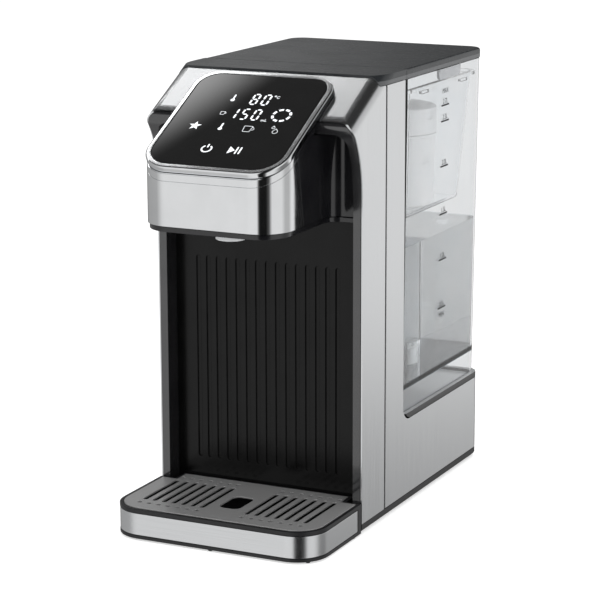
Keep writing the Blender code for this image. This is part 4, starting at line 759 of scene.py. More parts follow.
# Head
def head_plan(inset, front):
    """Plan of the head from its round front back through the neck to the wings inside the arch."""
    corner = HEAD_CORNER - inset
    half = HEAD_HALF - inset
    path = arc((half - corner, front + corner), corner, 270, 360)
    path += arc((half + FLARE, FLARE_Y), FLARE, 180, 90)
    return both_sides(path + [(WING, FLARE_Y + FLARE + NECK_RAKE), (WING, PANEL_BACK)])


def make_head_nose():
    """Polished nose of the head, with a fine groove a little below the display's frame."""
    plan = wall_plan(HEAD_HALF, HEAD_FRONT, HEAD_CORNER, HEAD_END_LOW, (0, HEAD_WALL))
    nose = drawn("head_nose", plan, "XY", HEAD_LOW, NICHE_TOP)
    near = HEAD_FRONT - OVER
    rake = (HEAD_END_LOW - HEAD_END_HIGH) / (NICHE_TOP - HEAD_LOW)
    side = [(near, HEAD_LOW - OVER), (HEAD_END_LOW + OVER * rake, HEAD_LOW - OVER),
            (HEAD_END_HIGH, frame_underside(HEAD_END_HIGH)), (near, frame_underside(near))]
    keep_common(nose, drawn("nose_side", side, "YZ", -HALF, HALF))
    far = HEAD_END_LOW + OVER
    drops = ((near, RIM_DROP + RIM_GROOVE), (far, RIM_DROP + RIM_GROOVE), (far, RIM_DROP), (near, RIM_DROP))
    strip = [(y, frame_underside(y) - drop) for y, drop in drops]
    groove = drawn("groove_strip", strip, "YZ", -HALF, HALF)
    kept = rounded((-HEAD_HALF + RIM_GROOVE, HEAD_FRONT + RIM_GROOVE), (HEAD_HALF - RIM_GROOVE, REAR),
                   (HEAD_CORNER - RIM_GROOVE, HEAD_CORNER - RIM_GROOVE, 0, 0))
    cut(groove, drawn("groove_floor", kept, "XY", 0, TOP))
    cut(nose, groove)
    complete(nose, FINE * 6, "polished_steel", "machine", "head_cover", angle=STEEP_ANGLE)


def make_head_base():
    """Black underside of the head with the outlet's hole."""
    plan = head_plan(HEAD_BASE_INSET, HEAD_FRONT + HEAD_BASE_INSET)
    base = drawn("head_base", plan, "XY", HEAD_FLOOR, HEAD_LOW - GAP)
    cut(base, rod("nozzle_hole", NOZZLE_RADIUS + GAP, (0, NOZZLE_Y, HEAD_FLOOR - OVER),
                  (0, NOZZLE_Y, HEAD_LOW + OVER), HOLE_SIDES))
    complete(base, SMALL_EDGE * 2, "black_gloss", "machine", "head_base_cover", steps=3)


def make_neck():
    """Gloss black neck behind the nose, flared into wings inside the arch."""
    top = NICHE_TOP - 2 * GAP
    neck = drawn("head_neck", head_plan(GAP, HEAD_FRONT), "XY", HEAD_LOW, TOP)
    nose = NOSE_Y - NECK_STEP_GAP
    under = NECK_TOP_GAP * REACH
    front_low = HEAD_END_LOW + GAP * 2
    front_high = HEAD_END_HIGH + GAP * 2
    rear = PANEL_BACK + OVER
    profile = [(front_low, HEAD_LOW - GAP), (rear, HEAD_LOW - GAP), (rear, top), (nose, top),
               (nose, frame_underside(nose) - under), (front_high, frame_underside(front_high) - under)]
    keep_common(neck, drawn("neck_side", profile, "YZ", -HALF, HALF))
    inner = HEAD_HALF - NECK_WALL
    lid = top - NECK_WALL
    slant_drop = under + NECK_WALL * REACH
    far = PANEL_BACK - NECK_WALL
    step = nose - NECK_WALL
    hollow = [(HEAD_FRONT, HEAD_LOW - OVER), (far, HEAD_LOW - OVER), (far, lid), (nose, lid),
              (step, frame_underside(nose) - slant_drop),
              (HEAD_FRONT, frame_underside(HEAD_FRONT) - slant_drop)]
    cut(neck, drawn("neck_inside", hollow, "YZ", -inner, inner))
    edge = rounded((-WING, HEAD_FLOOR - OVER), (WING, top), (0, 0, NICHE_CORNER, NICHE_CORNER))
    wide = rounded((-HALF, HEAD_FLOOR - 2 * OVER), (HALF, TOP), SQUARE)
    corners = drawn("wing_corners", wide, "XZ", nose, rear)
    cut(corners, drawn("wing_edge", edge, "XZ", nose - OVER, rear + OVER))
    cut(neck, corners)
    complete(neck, SMALL_EDGE, "black_gloss", "machine", "neck_housing")


def make_nozzle():
    """Light outlet nozzle with a rounded mouth."""
    flange, flange_low, flange_high = NOZZLE_FLANGE
    mouth = arc((NOZZLE_RADIUS - NOZZLE_LIP, NOZZLE_LOW + NOZZLE_LIP), NOZZLE_LIP, 0, -90, 5)
    profile = [(NOZZLE_STEM, NOZZLE_TOP), (NOZZLE_STEM, flange_high), (flange, flange_high),
               (flange, flange_low), (NOZZLE_RADIUS, flange_low), *mouth, (NOZZLE_BORE, NOZZLE_LOW),
               (NOZZLE_BORE, NOZZLE_TOP)]
    nozzle = turned("hot_water_nozzle", profile, (0, NOZZLE_Y))
    complete(nozzle, SMALL_EDGE, "pale_grey", "machine", "outlet_nozzle")


# Display
def plate_outline(inset):
    """Outline of the display plate in its own tilted plane."""
    reach = (DISPLAY_BACK + TRAY_REACH) * REACH / 2 - inset
    front, rear = (corner - inset for corner in FRAME_CORNERS)
    half = HEAD_HALF - inset
    return rounded((-half, -reach), (half, reach), (front, front, rear, rear))


def make_display_plate():
    """Polished frame with a turned-over rim, and the dark glass in it."""
    rim = drawn("display_rim", plate_outline(0), "XY", -FRAME_THICK, 0)
    round_edges(rim, FRAME_BEVEL, 6, lambda start, end: min(start.z, end.z) > -FINE)
    glass_low = -GLASS_SINK - GLASS_THICK
    cut(rim, drawn("glass_well", plate_outline(FRAME_RIM), "XY", glass_low - GAP, OVER))
    cut(rim, drawn("board_well", plate_outline(FRAME_RIM + FRAME_LEDGE), "XY", -FRAME_THICK - OVER, 0))
    soften(rim, SMALL_EDGE, 2, STEEP_ANGLE)
    dress(lay_tilted(rim), "polished_steel", "machine", "display_frame")
    glass = drawn("display_pane", plate_outline(FRAME_RIM + GAP), "XY", glass_low, -GLASS_SINK)
    soften(glass, SMALL_EDGE)
    dress(lay_tilted(glass), "display_glass", "machine", "display_glass")


def bar(start, end, width):
    """Outline of a display segment: a bar with pointed ends."""
    start = Vector(start)
    end = Vector(end)
    along = (end - start).normalized() * (width / 2)
    across = Vector((-along.y, along.x))
    points = [start, start + along - across, end - along - across, end, end - along + across,
              start + along + across]
    return [(point.x, point.y) for point in points]


def sector(centre, inner, outer, start, end, steps=8):
    """Outline of a piece of a ring."""
    return arc(centre, outer, start, end, steps) + arc(centre, inner, end, start, steps)


def digit_outlines(digit, corner):
    """Seven-segment outlines of a digit whose lower left corner is given, leaning right."""
    width, height = DIGIT_SIZE
    outlines = []
    for name in DIGIT_PARTS[digit]:
        start, end = (Vector((across * width, up * height / 2)) for across, up in DIGIT_SPOTS[name])
        gap = (end - start).normalized() * DIGIT_GAP
        points = bar(start + gap, end - gap, DIGIT_STROKE)
        outlines.append([(corner[0] + x + y * DIGIT_LEAN, corner[1] + y) for x, y in points])
    return outlines


def thin_bars(points):
    """Outlines of thin bars along a path."""
    return [bar(start, end, THIN_STROKE) for start, end in zip(points, points[1:])]


def symbol_outlines():
    """All the lit marks in the plane of the glass."""
    outlines = []
    for digit, corner in DIGIT_PLACES:
        outlines += digit_outlines(digit, corner)
    for index in range(RING_DASHES):
        middle = 360 * (index + 0.5) / RING_DASHES
        outlines.append(sector(RING_PLACE, *RING_RADII, middle - RING_SPREAD, middle + RING_SPREAD))
    star = []
    for index in range(STAR_CORNERS):
        radius = STAR_RADII[index % 2]
        angle = math.radians(90 + 360 * index / STAR_CORNERS)
        star.append((STAR_PLACE[0] + radius * math.cos(angle), STAR_PLACE[1] + radius * math.sin(angle)))
    outlines.append(star)
    for x, y, size in THERMOMETER_PLACES:
        bulb, middle, width, length = (share * size for share in THERMOMETER_SHARES)
        outlines.append(arc((x, y), bulb, -60, 240, 12))
        outlines.append(capsule((x, y + middle), width, length))
    for x, y, size in CUP_PLACES:
        half, side, flare, lift, grip = (share * size for share in CUP_SHARES)
        box = [(x - half, y - half), (x + side, y - half), (x + side + flare, y + half),
               (x - half - flare, y + half), (x - half, y - half)]
        outlines += thin_bars(box) + thin_bars(arc((x + side + flare, y + lift), grip, -80, 80, 4))
    for x, y, size in DROP_PLACES:
        side, shoulder, lean, tip = (share * size for share in DROP_SHARES)
        outlines.append(sector((x, y), size - THIN_STROKE, size, 150, 390, 10))
        outlines += thin_bars([(x - side, y + shoulder), (x - lean, y + tip), (x + side, y + shoulder)])
    outlines.append(sector(POWER_PLACE, *POWER_RADII, 125, 415, 20))
    x, y = POWER_PLACE
    low, high = (radius * share for radius, share in zip(POWER_RADII, POWER_BAR_SHARES))
    outlines.append(bar((x, y + low), (x, y + high), BOLD_STROKE))
    x, y = PLAY_PLACE
    length, half = PLAY_SIZE
    outlines.append([(x, y - half), (x + length, y), (x, y + half)])
    for shift in PAUSE_SHIFTS:
        outlines.append(bar((x + shift, y - half), (x + shift, y + half), BOLD_STROKE))
    outlines.append(sector(DEGREE_PLACE, *DEGREE_RADII, 0, 350, 10))
    return outlines


def lettering(name, words, size, place):
    """Plain letters as a thin mesh, middled on a place in their own plane."""
    pick()
    bpy.ops.object.text_add(location=(*place, 0))
    piece = bpy.context.object
    piece.name = name
    piece.data.body = words
    piece.data.size = size
    piece.data.align_x = "CENTER"
    piece.data.extrude = INK
    bpy.ops.object.convert(target="MESH")
    return place_in_mesh(bpy.context.object)


def make_symbols():
    """Lit digits and symbols, printed a hair above the glass."""
    marks = []
    for number, outline in enumerate(symbol_outlines()):
        marks.append(drawn(f"mark_{number}", outline, "XY", -GLASS_SINK, -GLASS_SINK + INK))
    for number, (words, size, place) in enumerate(UNIT_PLACES):
        unit = lettering(f"unit_{number}", words, size, place)
        unit.location.z = -GLASS_SINK
        marks.append(place_in_mesh(unit))
    dress(lay_tilted(gather("display_symbols", marks)), "lit_marks", "machine")


# Drip tray
def tray_plan(inset):
    """Plan of the drip tray: round front corners and a narrower tongue that enters the niche."""
    corner = TRAY_CORNER - inset
    half = HALF - inset
    path = arc((half - corner, TRAY_FRONT + inset + corner), corner, 270, 360)
    return both_sides(path + [(half, FRONT - inset), (TONGUE - inset, FRONT - inset),
                              (TONGUE - inset, PANEL_FACE - TRAY_GAP - inset)])


def make_tray():
    """Black tray with its basin, the groove for the band and five nubs below."""
    tray = drawn("tray_moulding", tray_plan(0), "XY", TRAY_LOW, TRAY_TOP)
    above = TRAY_TOP + OVER
    cut(tray, drawn("grid_recess", tray_plan(TRAY_RIM), "XY", GRID_LOW - GAP, above))
    cut(tray, drawn("tray_basin", tray_plan(TRAY_RIM + TRAY_LEDGE), "XY", TRAY_LOW + TRAY_FLOOR, above))
    groove = wall_plan(HALF, TRAY_FRONT, TRAY_CORNER, BAND_END + GAP,
                       (-BAND_THICK, BAND_THICK + BAND_INSET + GAP))
    cut(tray, drawn("band_groove", groove, "XY", BAND_LOW - GAP, BAND_HIGH + GAP))
    lean = (TRAY_CORNER - NUB_INSET) * math.sqrt(0.5)
    corner = (HALF - TRAY_CORNER + lean, TRAY_FRONT + TRAY_CORNER - lean)
    rear = (HALF - NUB_INSET, FRONT - NUB_REAR)
    places = [(side * x, y) for x, y in (corner, rear) for side in (-1, 1)]
    for number, place in enumerate([*places, (0, TRAY_FRONT + NUB_INSET)], 1):
        join(tray, rod(f"nub_{number}", NUB_RADIUS, (*place, GAP), (*place, TRAY_LOW + TRAY_FLOOR / 2)))
    complete(tray, SMALL_EDGE * 2, "black_satin", "drip_tray", "drip_tray_body", steps=3)
    plan = wall_plan(HALF, TRAY_FRONT, TRAY_CORNER, BAND_END, (BAND_INSET, BAND_INSET + BAND_THICK))
    band = drawn("tray_band", plan, "XY", BAND_LOW, BAND_HIGH)
    complete(band, SMALL_EDGE, "tray_steel", "drip_tray", "drip_tray_band")


def make_grid():
    """Slotted steel grid with round dots at the slots' ends and a finger hole."""
    grid = drawn("slotted_grid", tray_plan(TRAY_RIM + GAP), "XY", GRID_LOW, GRID_LOW + GRID_THICK)
    slot = capsule((0, FRONT - (SLOT_FRONT + SLOT_REAR) / 2), SLOT_WIDTH, SLOT_FRONT - SLOT_REAR)
    dots = [arc((0, FRONT - distance), DOT_WIDTH / 2, 0, 345, 15) for distance in (DOT_FRONT, DOT_REAR)]
    half_width, half_length = (size / 2 for size in FINGER_SIZE)
    outlines = [rounded((-half_width, FINGER_PLACE - half_length), (half_width, FINGER_PLACE + half_length),
                        (FINGER_CORNER,) * 4)]
    for side in (-1, 1):
        for index in range(SLOT_COUNT):
            x = side * (SLOT_FIRST + index * SLOT_PITCH)
            for outline in (slot, *dots):
                outlines.append([(x + across, along) for across, along in outline])
    holes = [drawn(f"hole_{number}", outline, "XY", GRID_LOW - OVER, GRID_LOW + OVER)
             for number, outline in enumerate(outlines)]
    cut(grid, gather("grid_holes", holes))
    complete(grid, SMALL_EDGE, "grid_steel", "grid", "drip_grid")


# Tank, what is stacked in it, and the water
def tank_space(name, inset, low, high):
    """A solid that follows the tank's leaning walls between two heights."""
    left = TANK_LEFT + inset
    front = TANK_FRONT + inset
    leans = [TANK_LEAN * (TANK_TOP - height) / (TANK_TOP - TANK_LOW) for height in (low, high)]
    right, top_right = (TANK_RIGHT - inset - lean for lean in leans)
    rear, top_rear = (TANK_REAR - inset - lean for lean in leans)
    small = max(TANK_SMALL_CORNER - inset, SMALL_EDGE)
    outline = rounded((left, front), (right, rear), (small, small, TANK_CORNER - inset, small))
    grow = ((top_right - left) / (right - left), (top_rear - front) / (rear - front))
    return tapered(name, outline, low, high, grow, (left, front))


def make_tank():
    """Clear tank with a raised floor over an open skirt, and ledges for the funnel."""
    tank = tank_space("clear_tank", 0, TANK_LOW, TANK_TOP)
    cut(tank, tank_space("tank_hollow", TANK_WALL, TANK_FLOOR + TANK_FLOOR_THICK, TANK_TOP + OVER))
    cut(tank, tank_space("tank_skirt", TANK_WALL, TANK_LOW - OVER, TANK_FLOOR))
    cut(tank, rod("valve_hole", VALVE_RADIUS + GAP, (*VALVE_PLACE, TANK_FLOOR - OVER),
                  (*VALVE_PLACE, TANK_FLOOR + OVER), HOLE_SIDES))
    for side, wall in ((-1, TANK_LEFT + TANK_WALL), (1, TANK_RIGHT - TANK_WALL)):
        for share in LEDGE_SHARES:
            y = TANK_FRONT + (TANK_REAR - TANK_FRONT) * share
            root = wall + side * TANK_WALL / 2
            tip = wall - side * LEDGE_REACH
            join(tank, slab("tank_ledge", (min(root, tip), y - LEDGE_LENGTH / 2, LEDGE_TOP - LEDGE_THICK),
                            (max(root, tip), y + LEDGE_LENGTH / 2, LEDGE_TOP)))
    complete(tank, SMALL_EDGE, "clear_plastic", "tank", "water_tank")


def make_water():
    """Water up to the photographed level, with its edge drawn up the walls a little."""
    low = TANK_FLOOR + TANK_FLOOR_THICK - GAP
    inset = TANK_WALL + WATER_INSET
    water = tank_space("water", inset, low, WATER_LEVEL)
    cut(water, rod("valve_room", VALVE_RADIUS + GAP, (*VALVE_PLACE, low - OVER), (*VALVE_PLACE, VALVE_ROOM),
                   HOLE_SIDES))
    width, depth = MENISCUS
    cut(water, tank_space("water_dip", inset + width, WATER_LEVEL - depth, WATER_LEVEL + OVER))
    complete(water, 0, "water", "tank")


def make_valve_spring():
    """Valve spring: a welded copy of the part, with a mesh of its own."""
    node = "tank_valve_spring"
    spring = copy_of(node, "valve_spring_coil")
    complete(spring, 0, "zinc_plate", "tank", node)
    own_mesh(spring)


def wall_right(height):
    """Outer face of the tank's right wall at a height."""
    return TANK_RIGHT - TANK_LEAN * (TANK_TOP - height) / (TANK_TOP - TANK_LOW)


def make_scale():
    """Litre scale printed on the tank's right wall: a line and a number for each level."""
    prints = []
    for height, words in SCALE_MARKS:
        face = wall_right(height)
        prints.append(slab("scale_line", (face, SCALE_MIDDLE - SCALE_LINE / 2, height - SCALE_STROKE / 2),
                           (face + INK, SCALE_MIDDLE + SCALE_LINE / 2, height + SCALE_STROKE / 2)))
    for height, words in (*SCALE_MARKS, *SCALE_WORDS):
        letters = lettering("scale_letters", words, SCALE_LETTER, (0, 0))
        letters.rotation_euler = (math.pi / 2, 0, math.pi / 2)
        low = height + SCALE_RAISE
        letters.location = (wall_right(low), SCALE_MIDDLE, low)
        prints.append(place_in_mesh(letters))
    dress(gather("litre_scale", prints), "dark_print", "tank")


def funnel_space(name, inset, low, high):
    """A solid that follows the funnel's leaning walls between two heights."""
    margin = TANK_WALL + FUNNEL_GAP + FUNNEL_LIP + inset
    centre = ((TANK_LEFT + TANK_RIGHT) / 2, (TANK_FRONT + TANK_REAR) / 2)
    spans = (TANK_RIGHT - TANK_LEFT, TANK_REAR - TANK_FRONT)

    def halves(height):
        share = (FUNNEL_TOP - height) / FUNNEL_DEPTH
        return [span / 2 - margin - draft * share for span, draft in zip(spans, FUNNEL_DRAFT)]

    small = halves(low)
    large = halves(high)
    outline = rounded((centre[0] - small[0], centre[1] - small[1]),
                      (centre[0] + small[0], centre[1] + small[1]), (FUNNEL_CORNER - inset,) * 4)
    return tapered(name, outline, low, high, (large[0] / small[0], large[1] / small[1]), centre)


def make_funnel():
    """Clear upper vessel that hangs in the tank's mouth by its rim."""
    low = FUNNEL_TOP - FUNNEL_DEPTH
    funnel = funnel_space("clear_funnel", 0, low, FUNNEL_TOP - FUNNEL_RIM / 2)
    round_edges(funnel, FUNNEL_FOOT, 5, lambda start, end: max(start.z, end.z) < low + FINE)
    margin = TANK_WALL + FUNNEL_GAP
    rim = rounded((TANK_LEFT + margin, TANK_FRONT + margin), (TANK_RIGHT - margin, TANK_REAR - margin),
                  (FUNNEL_CORNER + FUNNEL_LIP,) * 4)
    join(funnel, drawn("funnel_rim", rim, "XY", FUNNEL_TOP - FUNNEL_RIM, FUNNEL_TOP))
    floor = low + FUNNEL_WALL
    hollow = funnel_space("funnel_hollow", FUNNEL_WALL, floor, FUNNEL_TOP + OVER)
    round_edges(hollow, FUNNEL_FOOT - FUNNEL_WALL / 2, 5,
                lambda start, end: max(start.z, end.z) < floor + FINE)
    cut(funnel, hollow)
    cut(funnel, rod("filter_hole", FILTER_SPIGOT[0] + GAP, (*FILTER_PLACE, low - OVER),
                    (*FILTER_PLACE, low + OVER), HOLE_SIDES))
    complete(funnel, SMALL_EDGE, "clear_funnel", "funnel", "tank_funnel")


def make_filter():
    """White filter cartridge with a collar, and its domed cap."""
    spigot, spigot_drop = FILTER_SPIGOT
    foot = FILTER_RADIUS - FILTER_DRAFT
    body = [(0, FILTER_JOINT), (FILTER_RADIUS, FILTER_JOINT), (FILTER_RADIUS, FILTER_JOINT - FILTER_COLLAR),
            (FILTER_RADIUS - SMALL_EDGE * 2, FILTER_JOINT - FILTER_COLLAR - SMALL_EDGE),
            (foot, FILTER_LOW + FILTER_DRAFT), (foot - FILTER_DRAFT / 2, FILTER_LOW), (spigot, FILTER_LOW),
            (spigot, FILTER_LOW - spigot_drop), (0, FILTER_LOW - spigot_drop)]
    cartridge = turned("filter_body", body, FILTER_PLACE)
    complete(cartridge, SMALL_EDGE, "white_plastic", "filter", "filter_cartridge")
    dome = arc((0, 0), 1, 90, 0, DOME_STEPS)
    top = [(FILTER_RADIUS * x, FILTER_TOP - FILTER_DOME * (1 - y)) for x, y in dome]
    top[0] = (0, FILTER_TOP)
    cap = turned("filter_top", [*top, (FILTER_RADIUS, FILTER_JOINT + GAP), (0, FILTER_JOINT + GAP)],
                 FILTER_PLACE)
    complete(cap, SMALL_EDGE, "white_plastic", "filter", "filter_cap")


def refine(node, finish, body="machine"):
    """Stand a copy of a part with broken edges in for it."""
    complete(copy_of(node, f"{node}_finished"), SMALL_EDGE, finish, body, node)


def make_screws():
    """Rear screws with a cross recess."""
    long, short, depth = CROSS
    for number in range(1, SCREWS + 1):
        node = f"rear_screw_{number}"
        low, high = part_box(node)
        middle = (low + high) / 2
        screw = copy_of(node, f"cross_screw_{number}")
        for wide, tall in ((long, short), (short, long)):
            cut(screw, slab("cross_cut", (middle.x - wide / 2, high.y - depth, middle.z - tall / 2),
                            (middle.x + wide / 2, high.y + OVER, middle.z + tall / 2)))
        complete(screw, FINE * 4, "zinc_plate", "machine", node)


# Finishes: two shared effects, each a group with named inputs and outputs
def add_node(tree, kind, **settings):
    """A shader node with its settings."""
    made = tree.nodes.new(f"ShaderNode{kind}")
    for name, value in settings.items():
        setattr(made, name, value)
    return made


def wire(tree, *pairs):
    """Join each input to its output."""
    for target, source in pairs:
        tree.links.new(target, source)


def reckon(tree, kind, *values):
    """The result of a sum on numbers or on other nodes' outputs."""
    made = add_node(tree, "Math", operation=kind)
    for socket, value in zip(made.inputs, values):
        if isinstance(value, (int, float)):
            socket.default_value = value
        else:
            wire(tree, (socket, value))
    return made.outputs["Value"]


def start_effect(name):
    """A group with stretched noise that drives its tone and height, and a range for its roughness."""
    group = bpy.data.node_groups.new(name, "ShaderNodeTree")
    for label, kind, value in EFFECT_INPUTS:
        socket = group.interface.new_socket(label, in_out="INPUT", socket_type=f"NodeSocket{kind}")
        socket.default_value = value
    for label in ("Tone", "Roughness", "Height"):
        group.interface.new_socket(label, in_out="OUTPUT", socket_type="NodeSocketFloat")
    start = group.nodes.new("NodeGroupInput")
    end = group.nodes.new("NodeGroupOutput")
    mapping = add_node(group, "Mapping")
    noise = add_node(group, "TexNoise")
    noise.inputs["Scale"].default_value = 1.0
    noise.inputs["Detail"].default_value = NOISE_DETAIL
    spread = add_node(group, "MapRange")
    spread.inputs["From Min"].default_value, spread.inputs["From Max"].default_value = TONE_RANGE
    rough = add_node(group, "MapRange")
    wire(group,
         (mapping.inputs["Vector"], start.outputs["Place"]),
         (mapping.inputs["Scale"], start.outputs["Stretch"]),
         (noise.inputs["Vector"], mapping.outputs["Vector"]),
         (spread.inputs["Value"], noise.outputs["Fac"]),
         (end.inputs["Tone"], spread.outputs["Result"]),
         (end.inputs["Height"], noise.outputs["Fac"]),
         (rough.inputs["To Min"], start.outputs["Smoothest"]),
         (rough.inputs["To Max"], start.outputs["Roughest"]),
         (end.inputs["Roughness"], rough.outputs["Result"]))
    return group, start, spread.outputs["Result"], rough.inputs["Value"]


def steel_brushing():
    """Fine brushed lines, whose gloss follows their tone."""
    group, start, tone, gloss = start_effect("steel_brushing")
    wire(group, (gloss, tone))
    return group


def moulded_grain():
    """Fine spark texture of moulded plastic, with slow patches of wear in its gloss."""
    group, start, tone, gloss = start_effect("moulded_grain")
    patches = add_node(group, "TexNoise")
    patches.inputs["Scale"].default_value = PATCH_SCALE
    wire(group, (patches.inputs["Vector"], start.outputs["Place"]),
         (gloss, reckon(group, "MULTIPLY_ADD", tone, PATCH_SHARE, patches.outputs["Fac"])))
    return group


def finish(name, effect, stretch, gloss, dark, light, relief, sockets):
    """A material whose colour, gloss and relief come from one of the shared effects."""
    made = bpy.data.materials.new(name)
    made.use_nodes = True
    tree = made.node_tree
    shader = tree.nodes["Principled BSDF"]
    for label, value in sockets.items():
        shader.inputs[label].default_value = value
    place = add_node(tree, "TexCoord")
    worked = add_node(tree, "Group", node_tree=effect)
    for label, value in zip(("Stretch", "Smoothest", "Roughest"), (stretch, *gloss)):
        worked.inputs[label].default_value = value
    tone = add_node(tree, "Mix", data_type="RGBA")
    tone.inputs["A"].default_value = (*dark, 1)
    tone.inputs["B"].default_value = (*light, 1)
    bump = add_node(tree, "Bump")
    bump.inputs["Strength"].default_value = relief
    bump.inputs["Distance"].default_value = RELIEF
    wire(tree,
         (worked.inputs["Place"], place.outputs["Object"]),
         (tone.inputs["Factor"], worked.outputs["Tone"]),
         (shader.inputs["Base Color"], tone.outputs["Result"]),
         (shader.inputs["Roughness"], worked.outputs["Roughness"]),
         (bump.inputs["Height"], worked.outputs["Height"]),
         (shader.inputs["Normal"], bump.outputs["Normal"]))
    return made


def blend_with_nothing(tree, ray, share=1.0):
    """Let a share of one kind of ray pass straight through a material."""
    path = add_node(tree, "LightPath")
    passed = add_node(tree, "BsdfTransparent")
    mixed = add_node(tree, "MixShader")
    wire(tree,
         (mixed.inputs["Fac"], reckon(tree, "MULTIPLY", path.outputs[ray], share)),
         (mixed.inputs[1], tree.nodes["Principled BSDF"].outputs["BSDF"]),
         (mixed.inputs[2], passed.outputs["BSDF"]),
         (tree.nodes["Material Output"].inputs["Surface"], mixed.outputs["Shader"]))


def tint(tree, kind, low, high, colour):
    """Another colour between two places on an axis, or where the surface faces up enough."""
    base = tree.nodes["Principled BSDF"].inputs["Base Color"]
    before = base.links[0].from_socket
    place = add_node(tree, "TexCoord")
    parts = add_node(tree, "SeparateXYZ")
    wire(tree, (parts.inputs["Vector"], place.outputs["Normal" if kind == "Up" else "Object"]))
    part = parts.outputs["Z" if kind == "Up" else kind]
    mixed = add_node(tree, "Mix", data_type="RGBA")
    mixed.inputs["B"].default_value = (*colour, 1)
    wire(tree,
         (mixed.inputs["Factor"], reckon(tree, "COMPARE", part, (low + high) / 2, (high - low) / 2)),
         (mixed.inputs["A"], before),
         (base, mixed.outputs["Result"]))


EFFECT_INPUTS = (("Place", "Vector", (0, 0, 0)), ("Stretch", "Vector", (1, 1, 1)),
                 ("Smoothest", "Float", 0.2), ("Roughest", "Float", 0.4))
NOISE_DETAIL = 3.0
TONE_RANGE = (0.3, 0.7)
PATCH_SCALE = 40.0
PATCH_SHARE = 0.35
SHADOW_SHARE = 0.97
RELIEF = 0.00002
BRUSHING = steel_brushing()
GRAIN = moulded_grain()

# Stretch of the noise: lines along one axis, and grain from fine to slow
UPRIGHT = (2600, 2600, 22)
ALONG = (22, 2600, 2600)
SPARK = (3600, 3600, 3600)
CRYSTAL = (900, 900, 900)
LACQUER = (700, 700, 700)
SLOW = (60, 60, 60)

